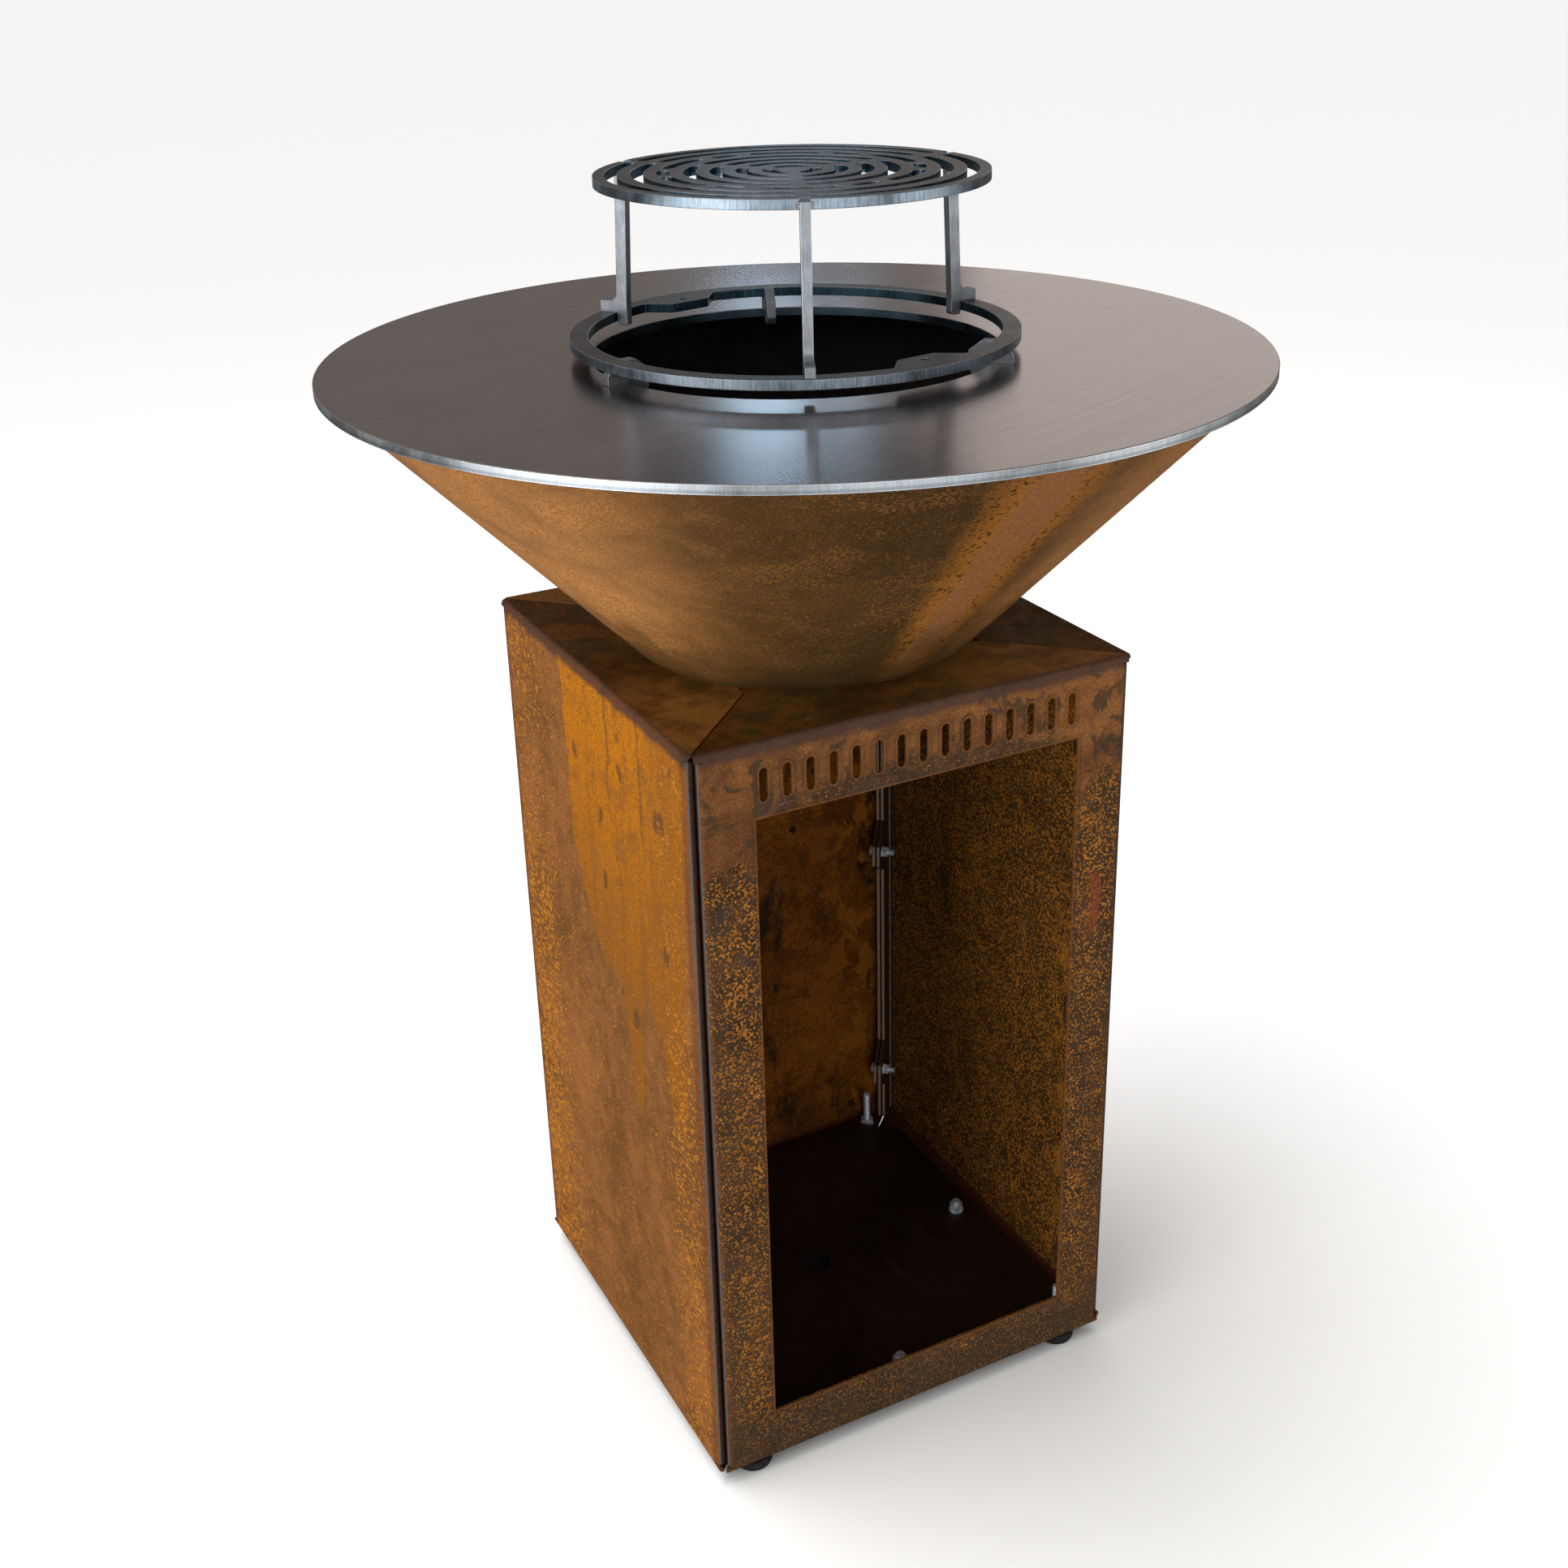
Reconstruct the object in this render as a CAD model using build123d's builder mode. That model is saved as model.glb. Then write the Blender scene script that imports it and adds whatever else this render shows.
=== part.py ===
"""Fire pit with grate: a square log-store pedestal of folded weathering steel,
a conical fire bowl, a round steel cooking plate, and a lift-off ring and grate.

Frame: +Z up, origin on the ground under the centre of the pedestal, the
open front of the log store faces -Y. Millimetres.
"""

import os
from math import asin, atan2, cos, degrees, hypot, radians, sin, sqrt, tan

from build123d import *

os.makedirs("parts", exist_ok=True)

# ---------------------------------------------------------------- dimensions
# pedestal
half_width = 211.0
pedestal_bottom = 16.0
pedestal_top = 734.0
sheet = 3.0
bend_outer = 4.5
top_flange = 95.0
bottom_flange = 60.0
corner_gap = 2.0
corner_relief = 7.0
corner_flange = 30.0
ear_reach = 48.5
ear_bolt_reach = 36.0
ear_heights = (93.0, 373.0, 650.0)

# front panel openings
door_width = 310.0
door_bottom = 68.0
door_top = 668.0
vent_count = 15
vent_pitch = 21.0
vent_width = 8.0
vent_height = 29.0
vent_z = 697.0

# floor plate
floor_half = 193.0
floor_thickness = 5.0
floor_corner = 39.0
drain_radius = 15.0
floor_bolt_radius = 172.0

# levelling feet
foot_x = 169.5
foot_y = 189.5
foot_travel = 15.0
stud_radius = 4.0
stud_clearance = 0.08
stud_bottom = 6.0
stud_top = 61.0
pad_radius = 18.0

# fire bowl
bowl_bottom_radius = 153.6
bowl_top_radius = 387.0
bowl_sheet = 3.0
bowl_base_thickness = 4.0
bowl_bolt_radius = 133.0

# cooking plate
plate_radius = 400.0
plate_thickness = 8.0
plate_bottom = 976.0
plate_hole_radius = 174.0

# support ring
ring_outer = 190.0
ring_inner = 174.5
ring_thickness = 8.0
ring_gap = 10.5
ear_angles = (100.4, 280.4)
ear_inner = 153.5
ear_hole_radius = 4.25
ear_hole_reach = 164.0
support_angles = {"back": 70.5, "left": 190.5, "right": 310.5}
support_thickness = 8.0

# grate
grate_radius = 163.0
grate_thickness = 8.0
grate_rise = 148.0
slot_band = 11.0
slot_pitch = 21.5
outer_slot_radius = 154.0
spoke_width = 10.0
leg_angles = {"right": 5.6, "left": 125.6, "front": 245.6}
leg_thickness = 8.0
leg_width = 10.0
leg_outer = 173.3
leg_lean = 5.2
leg_tab_reach = 190.0

plate_top = plate_bottom + plate_thickness
ring_bottom = plate_top + ring_gap
ring_top = ring_bottom + ring_thickness
grate_top = plate_top + grate_rise
grate_bottom = grate_top - grate_thickness
leg_top = grate_top - 1.5
floor_bottom = pedestal_bottom + sheet
floor_top = floor_bottom + floor_thickness
gap_x = corner_gap / sqrt(2)
diag = 1 / sqrt(2)


def radial_plane(angle):
    """Upright plane through the Z axis: local x runs outward, local y is Z."""
    a = radians(angle)
    return Plane(origin=(0, 0, 0), x_dir=(cos(a), sin(a), 0), z_dir=(sin(a), -cos(a), 0))


# ------------------------------------------------------------ pedestal panels
# One half of a folded panel, mirrored to the whole: a flat face with a top
# and a bottom flange, and a side flange folded back onto the corner diagonal.
with BuildPart() as panel_blank:
    with BuildSketch(Plane.YZ) as channel_section:
        with BuildLine() as channel_line:
            FilletPolyline(
                (-half_width + top_flange, pedestal_top),
                (-half_width, pedestal_top),
                (-half_width, pedestal_bottom),
                (-half_width + bottom_flange, pedestal_bottom),
                radius=bend_outer,
            )
            offset(amount=sheet, side=Side.LEFT)
        make_face()
    extrude(amount=-(half_width - corner_relief + 1))

    # the flat face stops where the side bend begins
    bend_start = half_width - gap_x - bend_outer / tan(radians(22.5))
    with BuildSketch(Plane.XZ.offset(half_width + 1)) as side_relief:
        with Locations((-half_width, (pedestal_bottom + pedestal_top) / 2)):
            Rectangle(
                2 * (half_width - bend_start),
                pedestal_top - pedestal_bottom - 2 * corner_relief + 2,
            )
    extrude(amount=-(bend_outer + sheet), mode=Mode.SUBTRACT)

    # mitre the flanges on the corner diagonals
    with BuildSketch(Plane.XY) as mitre:
        Polygon(
            (-half_width + gap_x, -half_width),
            (0, -half_width),
            (0, -half_width + top_flange + 1),
            (-half_width + gap_x + top_flange + 1, -half_width + top_flange + 1),
            align=None,
        )
    extrude(amount=pedestal_top + 1, mode=Mode.INTERSECT)

    # side bend and corner flange
    with BuildSketch(Plane.XY.offset(pedestal_bottom + corner_relief)) as side_section:
        with BuildLine() as side_line:
            FilletPolyline(
                (-bend_start + 8, -half_width),
                (-half_width + gap_x, -half_width),
                (
                    -half_width + gap_x + corner_flange * diag,
                    -half_width + corner_flange * diag,
                ),
                radius=bend_outer,
            )
            offset(amount=sheet, side=Side.RIGHT)
        make_face()
    extrude(amount=pedestal_top - pedestal_bottom - 2 * corner_relief)

    # bolting ears on the corner flange, longer above the bolt than below it
    ear_plane = Plane(
        origin=(-half_width + gap_x, -half_width, 0),
        x_dir=(1, 1, 0),
        z_dir=(1, -1, 0),
    )
    with BuildSketch(ear_plane) as ears:
        for ear_z in ear_heights:
            with BuildLine():
                FilletPolyline(
                    (corner_flange - 4, ear_z + 40),
                    (ear_reach, ear_z + 10),
                    (ear_reach, ear_z - 14),
                    (corner_flange - 4, ear_z - 28),
                    radius=5,
                )
                Line((corner_flange - 4, ear_z - 28), (corner_flange - 4, ear_z + 40))
            make_face()
    extrude(amount=sheet)
    with BuildSketch(ear_plane) as ear_holes:
        with Locations([(ear_bolt_reach, z) for z in ear_heights]):
            Circle(3.3)
    extrude(amount=sheet, mode=Mode.SUBTRACT)

    mirror(about=Plane.YZ)

    # floor bolt hole and bowl bolt hole on the centre line
    with BuildSketch(Plane.XY.offset(pedestal_bottom)) as floor_bolt_hole:
        with Locations((0, -floor_bolt_radius)):
            Circle(4.5)
    extrude(amount=sheet, mode=Mode.SUBTRACT)
    with BuildSketch(Plane.XY.offset(pedestal_top - sheet)) as bowl_bolt_hole:
        with Locations((0, -bowl_bolt_radius)):
            Circle(4.5)
    extrude(amount=sheet, mode=Mode.SUBTRACT)

# front panel: door opening, row of plain vents above it, two foot holes
with BuildPart() as panel_front:
    add(panel_blank.part)
    with BuildSketch(Plane.XZ.offset(half_width + 1)) as front_cuts:
        with Locations((0, (door_bottom + door_top) / 2)):
            Rectangle(door_width, door_top - door_bottom)
        with Locations((0, vent_z)):
            with GridLocations(vent_pitch, 0, vent_count, 1):
                SlotOverall(vent_height, vent_width, rotation=90)
    extrude(amount=-(sheet + 2), mode=Mode.SUBTRACT)
    with BuildSketch(Plane.XY.offset(pedestal_bottom)) as front_foot_holes:
        with Locations((-foot_x, -foot_y), (foot_x, -foot_y)):
            Circle(stud_radius + stud_clearance)
    extrude(amount=sheet, mode=Mode.SUBTRACT)

with BuildPart() as panel_back:
    add(panel_blank.part, rotation=(0, 0, 180))
    with BuildSketch(Plane.XY.offset(pedestal_bottom)) as back_foot_holes:
        with Locations((-foot_x, foot_y), (foot_x, foot_y)):
            Circle(stud_radius + stud_clearance)
    extrude(amount=sheet, mode=Mode.SUBTRACT)

with BuildPart() as panel_right:
    add(panel_blank.part, rotation=(0, 0, 90))

with BuildPart() as panel_left:
    add(panel_blank.part, rotation=(0, 0, -90))

# --------------------------------------------------------------- floor plate
with BuildPart() as floor_plate:
    with BuildSketch(Plane.XY.offset(floor_bottom)) as floor_outline:
        Rectangle(2 * floor_half, 2 * floor_half)
        chamfer(floor_outline.vertices(), floor_corner)
        Circle(drain_radius, mode=Mode.SUBTRACT)
        with PolarLocations(floor_bolt_radius, 4):
            Circle(4.5, mode=Mode.SUBTRACT)
    extrude(amount=floor_thickness)

# ----------------------------------------------------------- corner fasteners
# Each corner is closed by three bolts through the paired ears, with a spacer
# washer between the two sheets. Lengths run along the corner normal.
corner_planes = []
for quarter in range(4):
    normal_angle = radians(-45 + 90 * quarter)
    along_angle = radians(45 + 90 * quarter)
    reach = half_width / diag - 1 - ear_bolt_reach
    for ear_z in ear_heights:
        corner_planes.append(
            Plane(
                origin=(reach * cos(along_angle), reach * sin(along_angle), ear_z),
                x_dir=(0, 0, 1),
                z_dir=(cos(normal_angle), sin(normal_angle), 0),
            )
        )
stack = corner_gap / 2 + sheet

with BuildPart() as corner_spacers:
    for plane in corner_planes:
        with BuildSketch(plane.offset(-corner_gap / 2)):
            Circle(7)
            Circle(3.1, mode=Mode.SUBTRACT)
        extrude(amount=corner_gap)

with BuildPart() as corner_washers:
    for plane in corner_planes:
        for start in (stack, -stack - 1.2):
            with BuildSketch(plane.offset(start)):
                Circle(6.2)
                Circle(3.1, mode=Mode.SUBTRACT)
            extrude(amount=1.2)

with BuildPart() as corner_bolts:
    for plane in corner_planes:
        with BuildSketch(plane.offset(-stack - 1.2)):
            RegularPolygon(5.0, 6, major_radius=False)
        extrude(amount=-4)
        with BuildSketch(plane.offset(-stack - 1.2)):
            Circle(2.95)
        extrude(amount=2 * stack + 1.2 + 13)

with BuildPart() as corner_nuts:
    for plane in corner_planes:
        with BuildSketch(plane.offset(stack + 1.2)):
            RegularPolygon(5.0, 6, major_radius=False)
            Circle(3.0, mode=Mode.SUBTRACT)
        extrude(amount=5)

# ------------------------------------------------------------ floor fasteners
with BuildPart() as floor_bolts:
    with BuildSketch(Plane.XY.offset(pedestal_bottom)) as floor_bolt_heads:
        with PolarLocations(floor_bolt_radius, 4):
            RegularPolygon(6.5, 6, major_radius=False)
    extrude(amount=-5.3)
    with BuildSketch(Plane.XY.offset(pedestal_bottom)) as floor_bolt_shanks:
        with PolarLocations(floor_bolt_radius, 4):
            Circle(3.95)
    extrude(amount=20)

with BuildPart() as floor_washers:
    with BuildSketch(Plane.XY.offset(floor_top)) as floor_washer_rings:
        with PolarLocations(floor_bolt_radius, 4):
            Circle(8)
            Circle(4.2, mode=Mode.SUBTRACT)
    extrude(amount=1.6)

with BuildPart() as floor_nuts:
    with BuildSketch(Plane.XY.offset(floor_top + 1.6)) as floor_nut_hexes:
        with PolarLocations(floor_bolt_radius, 4):
            RegularPolygon(6.5, 6, major_radius=False)
            Circle(4.0, mode=Mode.SUBTRACT)
    extrude(amount=6.5)

# ------------------------------------------------------------- levelling feet
foot_places = {
    "front_left": (-foot_x, -foot_y),
    "front_right": (foot_x, -foot_y),
    "back_left": (-foot_x, foot_y),
    "back_right": (foot_x, foot_y),
}

with BuildPart() as foot_washers:
    with BuildSketch(Plane.XY.offset(floor_bottom)) as foot_washer_rings:
        with Locations(*foot_places.values()):
            Circle(8)
            Circle(stud_radius + stud_clearance, mode=Mode.SUBTRACT)
    extrude(amount=1.6)

with BuildPart() as foot_lock_nuts:
    with BuildSketch(Plane.XY.offset(floor_bottom + 1.6)) as foot_nut_hexes:
        with Locations(*foot_places.values()):
            RegularPolygon(6.5, 6, major_radius=False)
            Circle(stud_radius + stud_clearance, mode=Mode.SUBTRACT)
    extrude(amount=6.5)

for corner_name, (x, y) in foot_places.items():
    with BuildPart() as foot_pad:
        with BuildSketch(Plane(origin=(x, y, 0), x_dir=(1, 0, 0), z_dir=(0, -1, 0))):
            with BuildLine():
                Polyline(
                    (0, 0),
                    (pad_radius - 4, 0),
                    (pad_radius - 1.2, 1.5),
                    (pad_radius, 4),
                    (pad_radius, 6),
                    (pad_radius - 3, 8.5),
                    (9, 10.5),
                    (9, 13),
                    (0, 13),
                    close=True,
                )
            make_face()
        revolve(axis=Axis((x, y, 0), (0, 0, 1)))
        with BuildSketch(Plane.XY.offset(stud_bottom)):
            with Locations((x, y)):
                Circle(stud_radius)
        extrude(amount=13 - stud_bottom, mode=Mode.SUBTRACT)
    foot_pad.part.label = "foot_pad_" + corner_name
    export_step(foot_pad.part, "parts/foot_pad_" + corner_name + ".step")

    with BuildPart() as foot_stud:
        with BuildSketch(Plane.XY.offset(stud_bottom)):
            with Locations((x, y)):
                Circle(stud_radius)
        extrude(amount=stud_top - stud_bottom)
        chamfer(foot_stud.faces().sort_by(Axis.Z)[-1].edges(), 0.8)
    foot_stud.part.label = "foot_stud_" + corner_name
    export_step(foot_stud.part, "parts/foot_stud_" + corner_name + ".step")

# ------------------------------------------------------------------ fire bowl
bowl_slope = atan2(bowl_top_radius - bowl_bottom_radius, plate_bottom - pedestal_top)
wall = bowl_sheet / cos(bowl_slope)


def bowl_inner(z):
    """Inner radius of the cone at height z."""
    outer = bowl_bottom_radius + (z - pedestal_top) * tan(bowl_slope)
    return outer - wall


base_top = pedestal_top + bowl_base_thickness
with BuildPart() as bowl_cone:
    with BuildSketch(Plane.XZ) as bowl_section:
        with BuildLine():
            Polyline(
                (bowl_bottom_radius, pedestal_top),
                (bowl_top_radius, plate_bottom),
                (bowl_top_radius - wall, plate_bottom),
                (bowl_bottom_radius - wall, pedestal_top),
                close=True,
            )
        make_face()
    revolve(axis=Axis.Z)

with BuildPart() as bowl_base:
    with BuildSketch(Plane.XY.offset(pedestal_top)) as base_outline:
        Circle(bowl_inner(pedestal_top))
        Circle(drain_radius, mode=Mode.SUBTRACT)
        with PolarLocations(bowl_bolt_radius, 4):
            Circle(4.5, mode=Mode.SUBTRACT)
        with PolarLocations(70, 8):
            Circle(9, mode=Mode.SUBTRACT)
    extrude(amount=bowl_base_thickness)

with BuildPart() as bowl_bolts:
    with BuildSketch(Plane.XY.offset(base_top)) as bowl_bolt_heads:
        with PolarLocations(bowl_bolt_radius, 4):
            RegularPolygon(6.5, 6, major_radius=False)
    extrude(amount=5.3)
    with BuildSketch(Plane.XY.offset(base_top)) as bowl_bolt_shanks:
        with PolarLocations(bowl_bolt_radius, 4):
            Circle(3.95)
    extrude(amount=-20)

with BuildPart() as bowl_nuts:
    with BuildSketch(Plane.XY.offset(pedestal_top - sheet)) as bowl_nut_hexes:
        with PolarLocations(bowl_bolt_radius, 4):
            RegularPolygon(6.5, 6, major_radius=False)
            Circle(4.0, mode=Mode.SUBTRACT)
    extrude(amount=-6.5)

# -------------------------------------------------------------- cooking plate
with BuildPart() as cooking_plate:
    with BuildSketch(Plane.XY.offset(plate_bottom)) as plate_outline:
        Circle(plate_radius)
        Circle(plate_hole_radius, mode=Mode.SUBTRACT)
    extrude(amount=plate_thickness)
    chamfer(cooking_plate.edges().filter_by(GeomType.CIRCLE), 0.6)

# lugs under the plate that keep it centred in the bowl
lug_depth = 24.0
with BuildPart() as plate_lugs:
    for lug_angle in (30, 150, 270):
        with BuildSketch(radial_plane(lug_angle)) as lug_profile:
            Polygon(
                (bowl_inner(plate_bottom) - 1.5, plate_bottom),
                (bowl_inner(plate_bottom) - 46, plate_bottom),
                (bowl_inner(plate_bottom) - 46, plate_bottom - 8),
                (bowl_inner(plate_bottom - lug_depth) - 10, plate_bottom - lug_depth),
                (bowl_inner(plate_bottom - lug_depth) - 1.5, plate_bottom - lug_depth),
                align=None,
            )
        extrude(amount=3, both=True)

# --------------------------------------------------------------- support ring
with BuildPart() as support_ring:
    with BuildSketch(Plane.XY.offset(ring_bottom)) as ring_outline:
        for ear_angle in ear_angles:
            corners = []
            for r, half in ((180, 14.0), (ear_inner, 7.0), (ear_inner, -7.0), (180, -14.0)):
                a = radians(ear_angle + half)
                corners.append((r * cos(a), r * sin(a)))
            Polygon(*corners, align=None)
        Circle(ring_outer)
        Circle(ring_inner, mode=Mode.SUBTRACT)
        for ear_angle in ear_angles:
            corners = []
            for r, half in ((184, 14.3), (ear_inner, 7.0), (ear_inner, -7.0), (184, -14.3)):
                a = radians(ear_angle + half)
                corners.append((r * cos(a), r * sin(a)))
            Polygon(*corners, align=None)
            a = radians(ear_angle)
            with Locations((ear_hole_reach * cos(a), ear_hole_reach * sin(a))):
                Circle(ear_hole_radius, mode=Mode.SUBTRACT)
    extrude(amount=ring_thickness)
    ear_corners = support_ring.edges().filter_by(Axis.Z).filter_by(
        lambda e: hypot(e.center().X, e.center().Y) < ring_inner - 5
    )
    fillet(ear_corners, 4)

# supports: upright radial plates that stand on the cooking plate and drop a
# lobe into its hole to centre the ring
for side_name, angle in support_angles.items():
    with BuildPart() as ring_support:
        with BuildSketch(radial_plane(angle)) as support_profile:
            with BuildLine():
                FilletPolyline(
                    (plate_hole_radius - 0.3, plate_top),
                    (192, plate_top),
                    (192, plate_top + 7),
                    (189.5, ring_bottom),
                    (ring_inner - 0.3, ring_bottom),
                    (ring_inner - 0.3, ring_top),
                    (165, ring_top),
                    (ear_inner, plate_top + 9.5),
                    (ear_inner, plate_top - 6),
                    (159, plate_top - 12),
                    (plate_hole_radius - 0.3, plate_top - 12),
                    radius=(0.6, 1, 1, 0.4, 0.4, 2.5, 2.5, 2.5, 2.5),
                )
                Line((plate_hole_radius - 0.3, plate_top - 12), (plate_hole_radius - 0.3, plate_top))
            make_face()
        extrude(amount=support_thickness / 2, both=True)
    ring_support.part.label = "ring_support_" + side_name
    export_step(ring_support.part, "parts/ring_support_" + side_name + ".step")

# ---------------------------------------------------------------------- grate
# Seven concentric slots. Three spokes on the leg lines cross them all except
# the third, which has its own bridges thirty degrees either side of each leg.
with BuildPart() as grate_disc:
    with BuildSketch(Plane.XY.offset(grate_bottom)) as grate_outline:
        Circle(grate_radius)
        for index in range(7):
            middle = outer_slot_radius - slot_band / 2 - index * slot_pitch
            margin = degrees(asin((spoke_width + slot_band) / 2 / middle))
            for leg_angle in leg_angles.values():
                if index == 2:
                    spans = [
                        (leg_angle - 20 + margin, leg_angle + 20 - margin),
                        (leg_angle + 20 + margin, leg_angle + 40 - margin),
                        (leg_angle + 40 + margin, leg_angle + 80 - margin),
                        (leg_angle + 80 + margin, leg_angle + 100 - margin),
                    ]
                else:
                    spans = [(leg_angle + margin, leg_angle + 120 - margin)]
                for first, last in spans:
                    path = Edge.make_circle(middle, start_angle=first, end_angle=last)
                    SlotArc(path, slot_band, mode=Mode.SUBTRACT)
        for leg_angle in leg_angles.values():
            a = radians(leg_angle)
            with Locations(Location((159.5 * cos(a), 159.5 * sin(a)), leg_angle)):
                Rectangle(9, leg_thickness, mode=Mode.SUBTRACT)
    extrude(amount=grate_thickness)

for side_name, angle in leg_angles.items():
    with BuildPart() as grate_leg:
        with BuildSketch(radial_plane(angle)) as leg_profile:
            with BuildLine():
                FilletPolyline(
                    (155, leg_top),
                    (leg_outer - leg_lean, leg_top),
                    (leg_outer, ring_top + 10),
                    (leg_tab_reach, ring_top + 10),
                    (leg_tab_reach, ring_top),
                    (leg_outer, ring_top),
                    (leg_outer, ring_top - 11),
                    (leg_outer - leg_width, ring_top - 11),
                    (leg_outer - leg_width, ring_top + 6),
                    (leg_outer - leg_width - leg_lean, grate_bottom),
                    (155, grate_bottom),
                    radius=(0.5, 8, 2, 1, 0.5, 1.5, 2.5, 20, 0.3),
                )
                Line((155, grate_bottom), (155, leg_top))
            make_face()
        extrude(amount=leg_thickness / 2, both=True)
    grate_leg.part.label = "grate_leg_" + side_name
    export_step(grate_leg.part, "parts/grate_leg_" + side_name + ".step")

# ---------------------------------------------------------------------- export
pieces = {
    "panel_front": panel_front,
    "panel_back": panel_back,
    "panel_left": panel_left,
    "panel_right": panel_right,
    "floor_plate": floor_plate,
    "corner_spacers": corner_spacers,
    "corner_washers": corner_washers,
    "corner_bolts": corner_bolts,
    "corner_nuts": corner_nuts,
    "floor_bolts": floor_bolts,
    "floor_washers": floor_washers,
    "floor_nuts": floor_nuts,
    "foot_washers": foot_washers,
    "foot_lock_nuts": foot_lock_nuts,
    "bowl_cone": bowl_cone,
    "bowl_base": bowl_base,
    "bowl_bolts": bowl_bolts,
    "bowl_nuts": bowl_nuts,
    "cooking_plate": cooking_plate,
    "plate_lugs": plate_lugs,
    "support_ring": support_ring,
    "grate_disc": grate_disc,
}
for node_name, piece in pieces.items():
    piece.part.label = node_name
    export_step(piece.part, "parts/" + node_name + ".step")
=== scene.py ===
import math

import bpy
import numpy as np
from mathutils import Matrix, Vector


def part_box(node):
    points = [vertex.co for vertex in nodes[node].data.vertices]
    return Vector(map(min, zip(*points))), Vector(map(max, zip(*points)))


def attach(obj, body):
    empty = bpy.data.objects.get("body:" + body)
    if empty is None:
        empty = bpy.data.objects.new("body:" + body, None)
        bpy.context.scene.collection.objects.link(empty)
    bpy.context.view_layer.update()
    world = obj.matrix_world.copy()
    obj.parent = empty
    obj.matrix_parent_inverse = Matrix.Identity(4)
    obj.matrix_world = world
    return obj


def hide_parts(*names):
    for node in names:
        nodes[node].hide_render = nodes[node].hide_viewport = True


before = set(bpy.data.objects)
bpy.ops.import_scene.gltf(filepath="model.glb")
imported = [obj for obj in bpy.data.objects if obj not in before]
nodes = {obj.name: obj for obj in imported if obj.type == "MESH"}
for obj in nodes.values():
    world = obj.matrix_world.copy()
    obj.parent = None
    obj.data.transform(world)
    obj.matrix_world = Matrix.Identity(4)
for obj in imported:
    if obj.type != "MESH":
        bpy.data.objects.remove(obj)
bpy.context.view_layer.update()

# ---------------------------------------------------------------- pedestal panels
# Four folded sheets of 3 mm weathering steel, left outdoors until they rust to an
# orange-brown skin. Each has a top and a bottom flange and two folded corners, and
# the corners are bolted back to back through small ears.


def put(tree, kind, sockets=None, **settings):
    """Adds one shader node, sets its properties, and feeds or sets its sockets."""
    made = tree.nodes.new("ShaderNode" + kind)
    for name, value in settings.items():
        setattr(made, name, value)
    for name, value in (sockets or {}).items():
        if isinstance(value, bpy.types.NodeSocket):
            tree.links.new(value, made.inputs[name])
        else:
            made.inputs[name].default_value = value
    return made


def calc(tree, operation, *values, clamp=False):
    """One sum, product or other reckoning on numbers."""
    made = put(tree, "Math", dict(enumerate(values)), operation=operation, use_clamp=clamp)
    return made.outputs[0]


def slope(tree, value, start, end, low=0.0, high=1.0):
    """A soft step: low before start, high after end. Start may be above end."""
    sockets = {0: value, 1: start, 2: end, 3: low, 4: high}
    return put(tree, "MapRange", sockets, interpolation_type="SMOOTHSTEP").outputs[0]


def tint(tree, amount, under, over, way="MIX"):
    """Lays one colour over another by an amount from 0 to 1."""
    sockets = {0: amount, 6: under, 7: over}
    return put(tree, "Mix", sockets, data_type="RGBA", blend_type=way).outputs[2]


def cloud(tree, where, scale, detail=3.0, roughness=0.55, distortion=0.0):
    """Fractal noise, about 0.5 on average. Scale is in features per metre."""
    sockets = {"Vector": where, "Scale": scale, "Detail": detail, "Roughness": roughness}
    sockets["Distortion"] = distortion
    return put(tree, "TexNoise", sockets).outputs["Fac"]


def unsteady(tree, where, scale, detail=3.0, roughness=0.55, distortion=0.0):
    """The same noise about zero, to make the edge of a patch wander."""
    return calc(tree, "SUBTRACT", cloud(tree, where, scale, detail, roughness, distortion), 0.5)


def apart(tree, value, middle):
    """How far a number is from a middle one, without its sign."""
    return calc(tree, "ABSOLUTE", calc(tree, "SUBTRACT", value, middle))


def stretch(tree, where, scale=(1, 1, 1), turn=(0, 0, 0), shift=(0, 0, 0)):
    """The same place, scaled, then turned, then moved."""
    sockets = {"Vector": where, "Scale": scale, "Rotation": turn, "Location": shift}
    return put(tree, "Mapping", sockets).outputs[0]


def hand_curve(tree, value, start, end, points):
    """A number read off a curve through given points, with value counted from start to end."""
    along = put(tree, "MapRange", {0: value, 1: start, 2: end}).outputs[0]
    made = put(tree, "FloatCurve", {"Value": along})
    line = made.mapping.curves[0]
    line.points[0].location, line.points[1].location = points[0], points[-1]
    for point in points[1:-1]:
        line.points.new(*point)
    made.mapping.update()
    return made.outputs[0]


def effect(name, inputs, outputs):
    """A node group with named inputs and outputs, and its two end nodes."""
    tree = bpy.data.node_groups.new(name, "ShaderNodeTree")
    for title, kind, value in inputs:
        socket = tree.interface.new_socket(title, in_out="INPUT", socket_type="NodeSocket" + kind)
        if value is not None:
            socket.default_value = value
    for title, kind in outputs:
        tree.interface.new_socket(title, in_out="OUTPUT", socket_type="NodeSocket" + kind)
    start, end = tree.nodes.new("NodeGroupInput"), tree.nodes.new("NodeGroupOutput")
    return tree, start.outputs, end.inputs


def use(tree, group, **sockets):
    """Places a node group; a socket's name is written with _ for each space."""
    made = tree.nodes.new("ShaderNodeGroup")
    made.node_tree = group
    for name, value in sockets.items():
        name = name.replace("_", " ")
        if isinstance(value, bpy.types.NodeSocket):
            tree.links.new(value, made.inputs[name])
        else:
            made.inputs[name].default_value = value
    return made.outputs


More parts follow.
